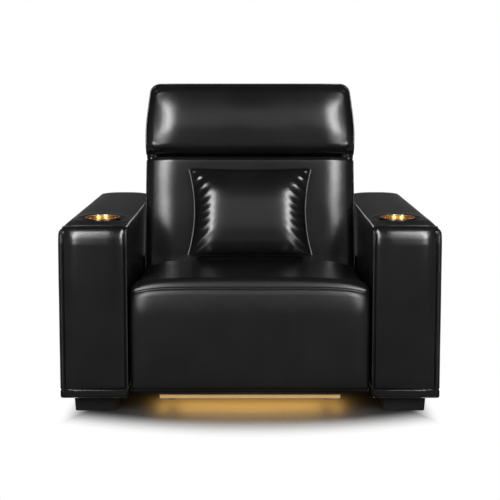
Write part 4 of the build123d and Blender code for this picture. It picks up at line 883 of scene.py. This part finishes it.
def head_form(x, t, s):
    """Puts a point of the plain headrest block on the padded form."""
    side, high = round_corner(CUSHION_X - np.abs(x), HEAD_TOP - s, HEAD_CORNER)
    s = HEAD_TOP - high
    low = s - HEAD_BASE
    front = 1 - ease(t, HEAD_FRONT, HEAD_REAR * 0.85)
    above = np.maximum(0, low - HEAD_FULL) / (HEAD_HEIGHT - HEAD_FULL)
    below = np.maximum(0, HEAD_FULL - low) / HEAD_FULL
    lean = HEAD_LEAN * above ** 2 + HEAD_TOP_FALL * (1 - roll(high, HEAD_TOP_ROLL))
    under = HEAD_UNDER * below ** 2 + HEAD_LOW_FALL * (1 - roll(low, HEAD_LOW_ROLL))
    bell = 1 - np.clip(np.abs(low - BELL_MIDDLE) / BELL_HALF, 0, 1) ** 2
    edge = HEAD_FALL * (BELL_LEAST + BELL_MORE * bell) * (1 - crown(side, HEAD_CROWN))
    edge = edge + EDGE_FALL * (1 - roll(side, EDGE_ROLL))
    fall = np.maximum(edge + lean * HEAD_OVERLAP, lean + edge * HEAD_OVERLAP) + under
    folds = 4.0 * pucker(low, side, 0.26, 0.10, 34.0) + 3.0 * pucker(high, side, 0.30, 0.16, 30.0)
    seam = HEAD_SEAM * groove(np.minimum(side, high) - HEAD_SEAM_IN, HEAD_SEAM_WIDTH)
    width = (head_half(s) + HEAD_WAIST * hump(low / HEAD_HEIGHT)) / CUSHION_X
    across = np.sign(x) * (CUSHION_X - side) * width
    return on_back(across, s, t + front * (fall + folds + seam))


def build_headrest():
    xs = spaced_across(CUSHION_X, 11.0, (26, 26.0, 2.4))
    ts = spaced(HEAD_FRONT, HEAD_REAR, 9.0, ((HEAD_FRONT + 10, 10.0, 2.5),))
    ss = spaced(HEAD_BASE, HEAD_TOP, 9.0, ((HEAD_TOP - 20, 20.0, 2.4), (HEAD_BASE + 20, 20.0, 2.6)))
    points, faces = block(xs, ts, ss, 5.0)
    place = head_form(*points.T)
    place[:, 1] += HEAD_SLACK * ripple(place, 110.0, 51.0)
    dress("headrest_leather", place, faces, "headrest", "headrest_cushion")
    path = [(3.0 - CUSHION_X, s) for s in np.linspace(HEAD_BASE + 30, HEAD_TOP - 24, 40)]
    path += [(27 - CUSHION_X + 24 * math.cos(a), HEAD_TOP - 27 + 24 * math.sin(a))
             for a in np.linspace(math.pi, math.pi / 2, 12)[1:-1]]
    path += [(x, HEAD_TOP - 3.0) for x in np.linspace(30 - CUSHION_X, 0, 40)]
    path += [(-x, s) for x, s in path[-2::-1]]
    x, s = np.array(path).T
    trim("headrest_piping", head_form(x, HEAD_FRONT + 1.0, s), BACK_PIPING, "headrest", PIPING)


def build_headrest_shell():
    front, half = HEAD_REAR + 1.2, CUSHION_X - 1.0
    xs = spaced_across(half, 12.0, (18, 18.0, 3.0))
    ts = spaced(front, HEAD_SHELL_REAR, 8.0, ((HEAD_SHELL_REAR - 8, 8.0, 2.5),))
    ss = spaced(HEAD_BASE + 0.5, HEAD_TOP - 1.0, 9.0, ((HEAD_TOP - 16, 15.0, 3.0),))
    points, faces = block(xs, ts, ss, 6.0, without=((1, 0),))
    x, t, s = points.T
    rear = np.interp(s, HEAD_SHELL_S, HEAD_SHELL_T)
    t = front + (t - front) * (rear - front) / (HEAD_SHELL_REAR - front)
    side, high = round_corner(half - np.abs(x), HEAD_TOP - s, HEAD_CORNER)
    s = HEAD_TOP - high
    across = np.sign(x) * (half - side) * (head_half(s) - 1.0) / half
    place = on_back(across, s, t - ease(t, rear - 10.0, rear - 1.0) * shell_lines(x))
    dress("headrest_shell_leather", place, faces, "headrest", "headrest_shell", SHELL_LEATHER)


def build_gathers(side, hand):
    """Gathered leather in the notch between the headrest and the back."""
    points = []
    for along in (math.pi * i / KNOT_ROWS for i in range(KNOT_ROWS + 1)):
        for turn in (2 * math.pi * k / CIRCLE_STEPS for k in range(CIRCLE_STEPS)):
            fold = 1 + KNOT_FOLD * math.cos(KNOT_FOLDS * turn + 1.5 * math.cos(along))
            swell = math.sin(along) ** 0.7 * fold
            points.append(on_back(side * (CUSHION_X - KNOT_IN - KNOT_LENGTH * math.cos(along)),
                                  BACK_HEIGHT + 2.0 + KNOT_RADIUS_S * swell * math.cos(turn),
                                  KNOT_T + KNOT_RADIUS_T * swell * math.sin(turn)))
    faces = loft(KNOT_ROWS + 1, CIRCLE_STEPS, ends=False)
    knot = mesh_object(f"{hand}_back_gathers", points, faces, PILLOW_LEATHER)
    recalculate(knot, WELD)
    settle(knot, "back")


def build_neck():
    """Soft roll on the back, which closes the gap below the headrest."""
    x = np.linspace(24 - CUSHION_X, CUSHION_X - 24, 120)
    path = on_back(x, BACK_HEIGHT + 2.5 + NECK_WAVE * np.sin(x / NECK_WAVE_LENGTH), NECK_T)
    trim("back_neck_roll", path, NECK_RADIUS, "back", sides=20)


build_headrest()
build_headrest_shell()
build_neck()
for knot_side, knot_hand in SIDES:
    build_gathers(knot_side, knot_hand)


# ------ pillow
PILLOW_HALF_X, PILLOW_HALF_S = 205.0, 148.0
PILLOW_MIDDLE_S = 208.0
PILLOW_REAR, PILLOW_FRONT = 30.0, 64.0
PILLOW_LEAN = 34.0
PULL_X, PULL_S, PULL_POWER = 0.105, 0.035, 1.5  # how far the sides are pulled in
RIM_T = PILLOW_REAR + 0.6
GRID_U, GRID_V, GRID_BUNCH = 110, 84, 0.9
FULL_POWER = 0.6  # lower is fuller
REAR_SWELL = 1.3
SIDE_GATHER, SIDE_REACH, SIDE_START = 3.5, 0.20, 0.03
END_GATHER, END_REACH, END_START = 2.0, 0.16, 0.05


def bunched(count):
    """Marks from -1 to 1, closer together towards the ends."""
    reach = math.pi / 2 * GRID_BUNCH
    return np.sin(np.linspace(-1, 1, count + 1) * reach) / math.sin(reach)


def pillow_edge(u, v):
    """Outline of the pillow: pointed corners, sides pulled in between them."""
    x = PILLOW_HALF_X * u * (1 - PULL_X * (1 - v ** 2) * abs(u) ** PULL_POWER)
    s = PILLOW_HALF_S * v * (1 - PULL_S * (1 - u ** 2) * abs(v) ** PULL_POWER)
    return x, s


def pillow_lean(v):
    """How far the edge of the pillow stands off the back, more at its foot."""
    return PILLOW_LEAN * ((1 - v) / 2) ** 1.5


def pillow_rim(u, v, out=0.0, ahead=0.0):
    """Point on the pillow's rim, or somewhat outside and ahead of it."""
    x, s = pillow_edge(u, v)
    return on_back(x + out, PILLOW_MIDDLE_S + s, -RIM_T - pillow_lean(v) - ahead)


def fold_strength(inwards, reach, start):
    """0 on the rim, strongest just inside it, then fading."""
    return math.exp(-(inwards / reach) ** 2) * (1 - math.exp(-inwards / start))


def pillow_folds(u, v):
    """Gathers that run in from the sides, and weaker ones from top and foot."""
    in_u, in_v = 1 - abs(u), 1 - abs(v)
    wave = math.sin(v * 31.0 + 1.6 * math.sin(v * 5.0) - 24.0 * in_u) * (1 - abs(v) ** 6)
    fold = SIDE_GATHER * fold_strength(in_u, SIDE_REACH, SIDE_START) * wave
    wave = math.sin(u * 19.0 + 1.4 * math.sin(u * 9.0)) * (1 - abs(u) ** 4)
    return fold + END_GATHER * fold_strength(in_v, END_REACH, END_START) * wave


def pillow_swell(u, v, depth):
    """Swelling between the rims, fuller below the middle."""
    a = 1 - abs(u) ** 4.5
    b = 1 - abs(v) ** (4.0 if v < 0 else 2.6)
    return depth * (0.92 - 0.2 * v) * max(0.0, a) ** FULL_POWER * max(0.0, b) ** FULL_POWER


def pillow_front(u, v):
    flatter = 1 - 0.8 * pillow_lean(v) / PILLOW_FRONT
    swell = pillow_swell(u, v, PILLOW_FRONT) * flatter
    return -RIM_T - pillow_lean(v) - swell - pillow_folds(u, v)


def pillow_rear(u, v):
    rim_t = RIM_T + pillow_lean(v)
    return -rim_t + min(pillow_swell(u, v, PILLOW_REAR) * REAR_SWELL, rim_t - 1.0)


def build_pillow():
    points, faces, index = [], [], {}
    for layer, form in enumerate((pillow_front, pillow_rear)):
        for i, u in enumerate(bunched(GRID_U)):
            for j, v in enumerate(bunched(GRID_V)):
                if layer and (i in (0, GRID_U) or j in (0, GRID_V)):
                    index[(1, i, j)] = index[(0, i, j)]
                    continue
                x, s = pillow_edge(u, v)
                index[(layer, i, j)] = len(points)
                points.append(on_back(x, PILLOW_MIDDLE_S + s, form(u, v)))
        for i in range(GRID_U):
            for j in range(GRID_V):
                loop = [index[(layer, i + a, j + b)] for a, b in QUAD]
                faces.append(loop[::-1] if layer else loop)
    dress("pillow_leather", points, faces, "pillow", "lumbar_pillow", PILLOW_LEATHER)
    u, v = np.linspace(-1, 1, 60), np.linspace(-1, 1, 50)
    path = np.concatenate((pillow_rim(u, -1), pillow_rim(1, v), pillow_rim(u[::-1], 1),
                           pillow_rim(-1, v[::-1])))
    path = [p for i, p in enumerate(path) if i == 0 or np.linalg.norm(p - path[i - 1]) > 0.5]
    trim("pillow_piping", path[:-1], DARK_PIPING, "pillow", PILLOW_LEATHER, closed=True, sides=10)
    for side, hand in SIDES:
        path = pillow_rim(side, np.linspace(-0.97, 0.97, 60), out=side * 1.2, ahead=1.7)
        settle(stitches(f"{hand}_pillow_stitches", path, PALE_THREAD_AND_HIGHLIGHT, 8.5, 5.4, 0.7), "pillow")


build_pillow()


# ------ stage
FLOOR_RADIUS = 6.0  # metres, as SHADE_REACH, FADE and CAMERA
FLOOR_PALE = 0.85
# painted shade: ambient occlusion within SHADE_REACH darkens the floor's colour near the object
SHADE_REACH, SHADE_POWER, SHADE_LEAST = 0.4, 7.0, 0.015
# the shaded floor round the object, with its painted shade, gives way to white past a lens-shaped
# edge
FADE_X, FADE_Y, FADE_BEND, FADE_WIDTH = 0.47, 0.475, 0.4, 0.175
FLOOR_IN_MIRROR = 0.32
ROOM, FILL, HORIZON = 0.08, 0.30, 0.42  # brightness of the room
SUBJECT = (0, 0, 0.6)
CAMERA = (0, -3.5125, 1.0063)
CAMERA_DIP = 5.494  # degrees below the level
CAMERA_LENS, CAMERA_SENSOR, CAMERA_SHIFT = 77.12, 36.0, -0.15  # mm, mm and share


def maths(tree, operation, first, second=0.0):
    """Output of one step of arithmetic on numbers and sockets."""
    node = add_node(tree, "Math")
    node.operation = operation
    for socket, value in zip(node.inputs, (first, second)):
        if isinstance(value, float):
            socket.default_value = value
        else:
            tree.links.new(value, socket)
    return node.outputs["Value"]


def lit_floor():
    """Pale floor with the real shadow of what stands on it and a painted shade from ambient
    occlusion, white further out.
    """
    m, tree, shader = material("floor_white", (0.8, 0.8, 0.8), 0.7)
    link = tree.links.new
    set_sockets(shader, Specular_IOR_Level=0.2)
    place = add_node(tree, "TexCoord")
    split = add_node(tree, "SeparateXYZ")
    link(place.outputs["Object"], split.inputs["Vector"])
    across, along = split.outputs["X"], split.outputs["Y"]
    beside = maths(tree, "SUBTRACT", maths(tree, "ABSOLUTE", across), FADE_X)
    bend = maths(tree, "MULTIPLY", maths(tree, "MULTIPLY", across, across), FADE_BEND)
    before = maths(tree, "ADD", maths(tree, "ABSOLUTE", along), bend)
    before = maths(tree, "SUBTRACT", before, FADE_Y)
    outside = maths(tree, "MAXIMUM", maths(tree, "MULTIPLY", beside, 2.0), before)
    fade = add_node(tree, "MapRange", From_Min=0.0, From_Max=FADE_WIDTH)
    fade.interpolation_type = "SMOOTHSTEP"
    link(outside, fade.inputs["Value"])
    # painted shade: ambient occlusion darkens the floor's colour under and around the object
    painted_shade_ao = add_node(tree, "AmbientOcclusion", Distance=SHADE_REACH)
    painted_shade_ao.samples = 8
    shade = maths(tree, "POWER", painted_shade_ao.outputs["AO"], SHADE_POWER)
    shade = maths(tree, "MAXIMUM", shade, SHADE_LEAST)
    painted_shade_tint = add_node(tree, "CombineColor")
    for socket in painted_shade_tint.inputs:
        link(maths(tree, "MULTIPLY", shade, FLOOR_PALE), socket)
    link(painted_shade_tint.outputs["Color"], shader.inputs["Base Color"])
    rays = add_node(tree, "LightPath").outputs
    clear = maths(tree, "MAXIMUM", rays["Is Camera Ray"], rays["Is Transmission Ray"])
    seen = maths(tree, "MAXIMUM", clear, rays["Is Glossy Ray"])
    plain = add_node(tree, "Emission")
    link(maths(tree, "MAXIMUM", clear, FLOOR_IN_MIRROR), plain.inputs["Strength"])
    mix = add_node(tree, "MixShader")
    link(maths(tree, "MULTIPLY", fade.outputs["Result"], seen), mix.inputs["Fac"])
    link(shader.outputs["BSDF"], mix.inputs[1])
    link(plain.outputs["Emission"], mix.inputs[2])
    link(mix.outputs["Shader"], tree.nodes["Material Output"].inputs["Surface"])
    return m


def light_room():
    """White to the camera. In reflections it is white at the horizon and fades into a dim
    room above it, slowly in front and at once behind."""
    world = bpy.data.worlds.new("studio")
    bpy.context.scene.world = world
    world.use_nodes = True
    tree, link = world.node_tree, world.node_tree.links.new
    sky = tree.nodes["Background"]
    set_sockets(sky, Color=(1, 1, 1, 1))
    rays = add_node(tree, "LightPath").outputs
    place = add_node(tree, "TexCoord")
    split = add_node(tree, "SeparateXYZ")
    ahead = add_node(tree, "MapRange", From_Min=-0.1, From_Max=-0.6, To_Min=0.06, To_Max=0.62)
    band = add_node(tree, "MapRange", From_Min=0.0, To_Min=HORIZON, To_Max=ROOM)
    link(place.outputs["Generated"], split.inputs["Vector"])
    link(split.outputs["Z"], band.inputs["Value"])
    link(split.outputs["Y"], ahead.inputs["Value"])
    link(ahead.outputs["Result"], band.inputs["From Max"])
    seen = maths(tree, "MAXIMUM", rays["Is Camera Ray"], rays["Is Transmission Ray"])
    mirror = add_node(tree, "Mix", A=FILL)
    link(rays["Is Glossy Ray"], mirror.inputs["Factor"])
    link(band.outputs["Result"], mirror.inputs["B"])
    level = add_node(tree, "Mix", B=1.0)
    link(seen, level.inputs["Factor"])
    link(mirror.outputs["Result"], level.inputs["A"])
    link(level.outputs["Result"], sky.inputs["Strength"])


def softbox(name, place, aim, size, power, colour=(1, 1, 1)):
    """An area lamp at a place, turned to what it aims at."""
    data = bpy.data.lights.new(name, "AREA")
    data.shape = "RECTANGLE"
    data.size, data.size_y = size
    data.energy = power
    data.color = colour
    lamp = bpy.data.objects.new(name, data)
    bpy.context.collection.objects.link(lamp)
    lamp.location = place
    lamp.rotation_mode = "QUATERNION"
    lamp.rotation_quaternion = (Vector(aim) - Vector(place)).to_track_quat("-Z", "Y")


bpy.ops.mesh.primitive_circle_add(vertices=CIRCLE_STEPS, radius=FLOOR_RADIUS, fill_type="NGON")
floor = bpy.context.object
floor.name = "floor"
floor.data.materials.append(lit_floor())

light_room()
for lamp_side in (-1, 1):
    softbox("key", (lamp_side * 1.12, -2.3, 2.0), SUBJECT, (0.38, 1.4), 74)
    softbox("low_key", (lamp_side * 1.12, -2.3, 0.85), SUBJECT, (0.4, 0.9), 13)
softbox("front", (0, -3.6, 2.6), SUBJECT, (2.4, 1.2), 9)
softbox("glow", (0, -0.315, 0.040), (0, -0.32, -1), (0.56, 0.10), 3.5, (1.0, 0.56, 0.14))

optics = bpy.data.cameras.new("camera")
camera = bpy.data.objects.new("camera", optics)
bpy.context.collection.objects.link(camera)
optics.sensor_width = CAMERA_SENSOR
optics.lens = CAMERA_LENS
optics.shift_y = CAMERA_SHIFT
camera.location = CAMERA
camera.rotation_euler = (math.radians(90 - CAMERA_DIP), 0, 0)
bpy.context.scene.camera = camera
bpy.context.scene.view_settings.view_transform = "Standard"
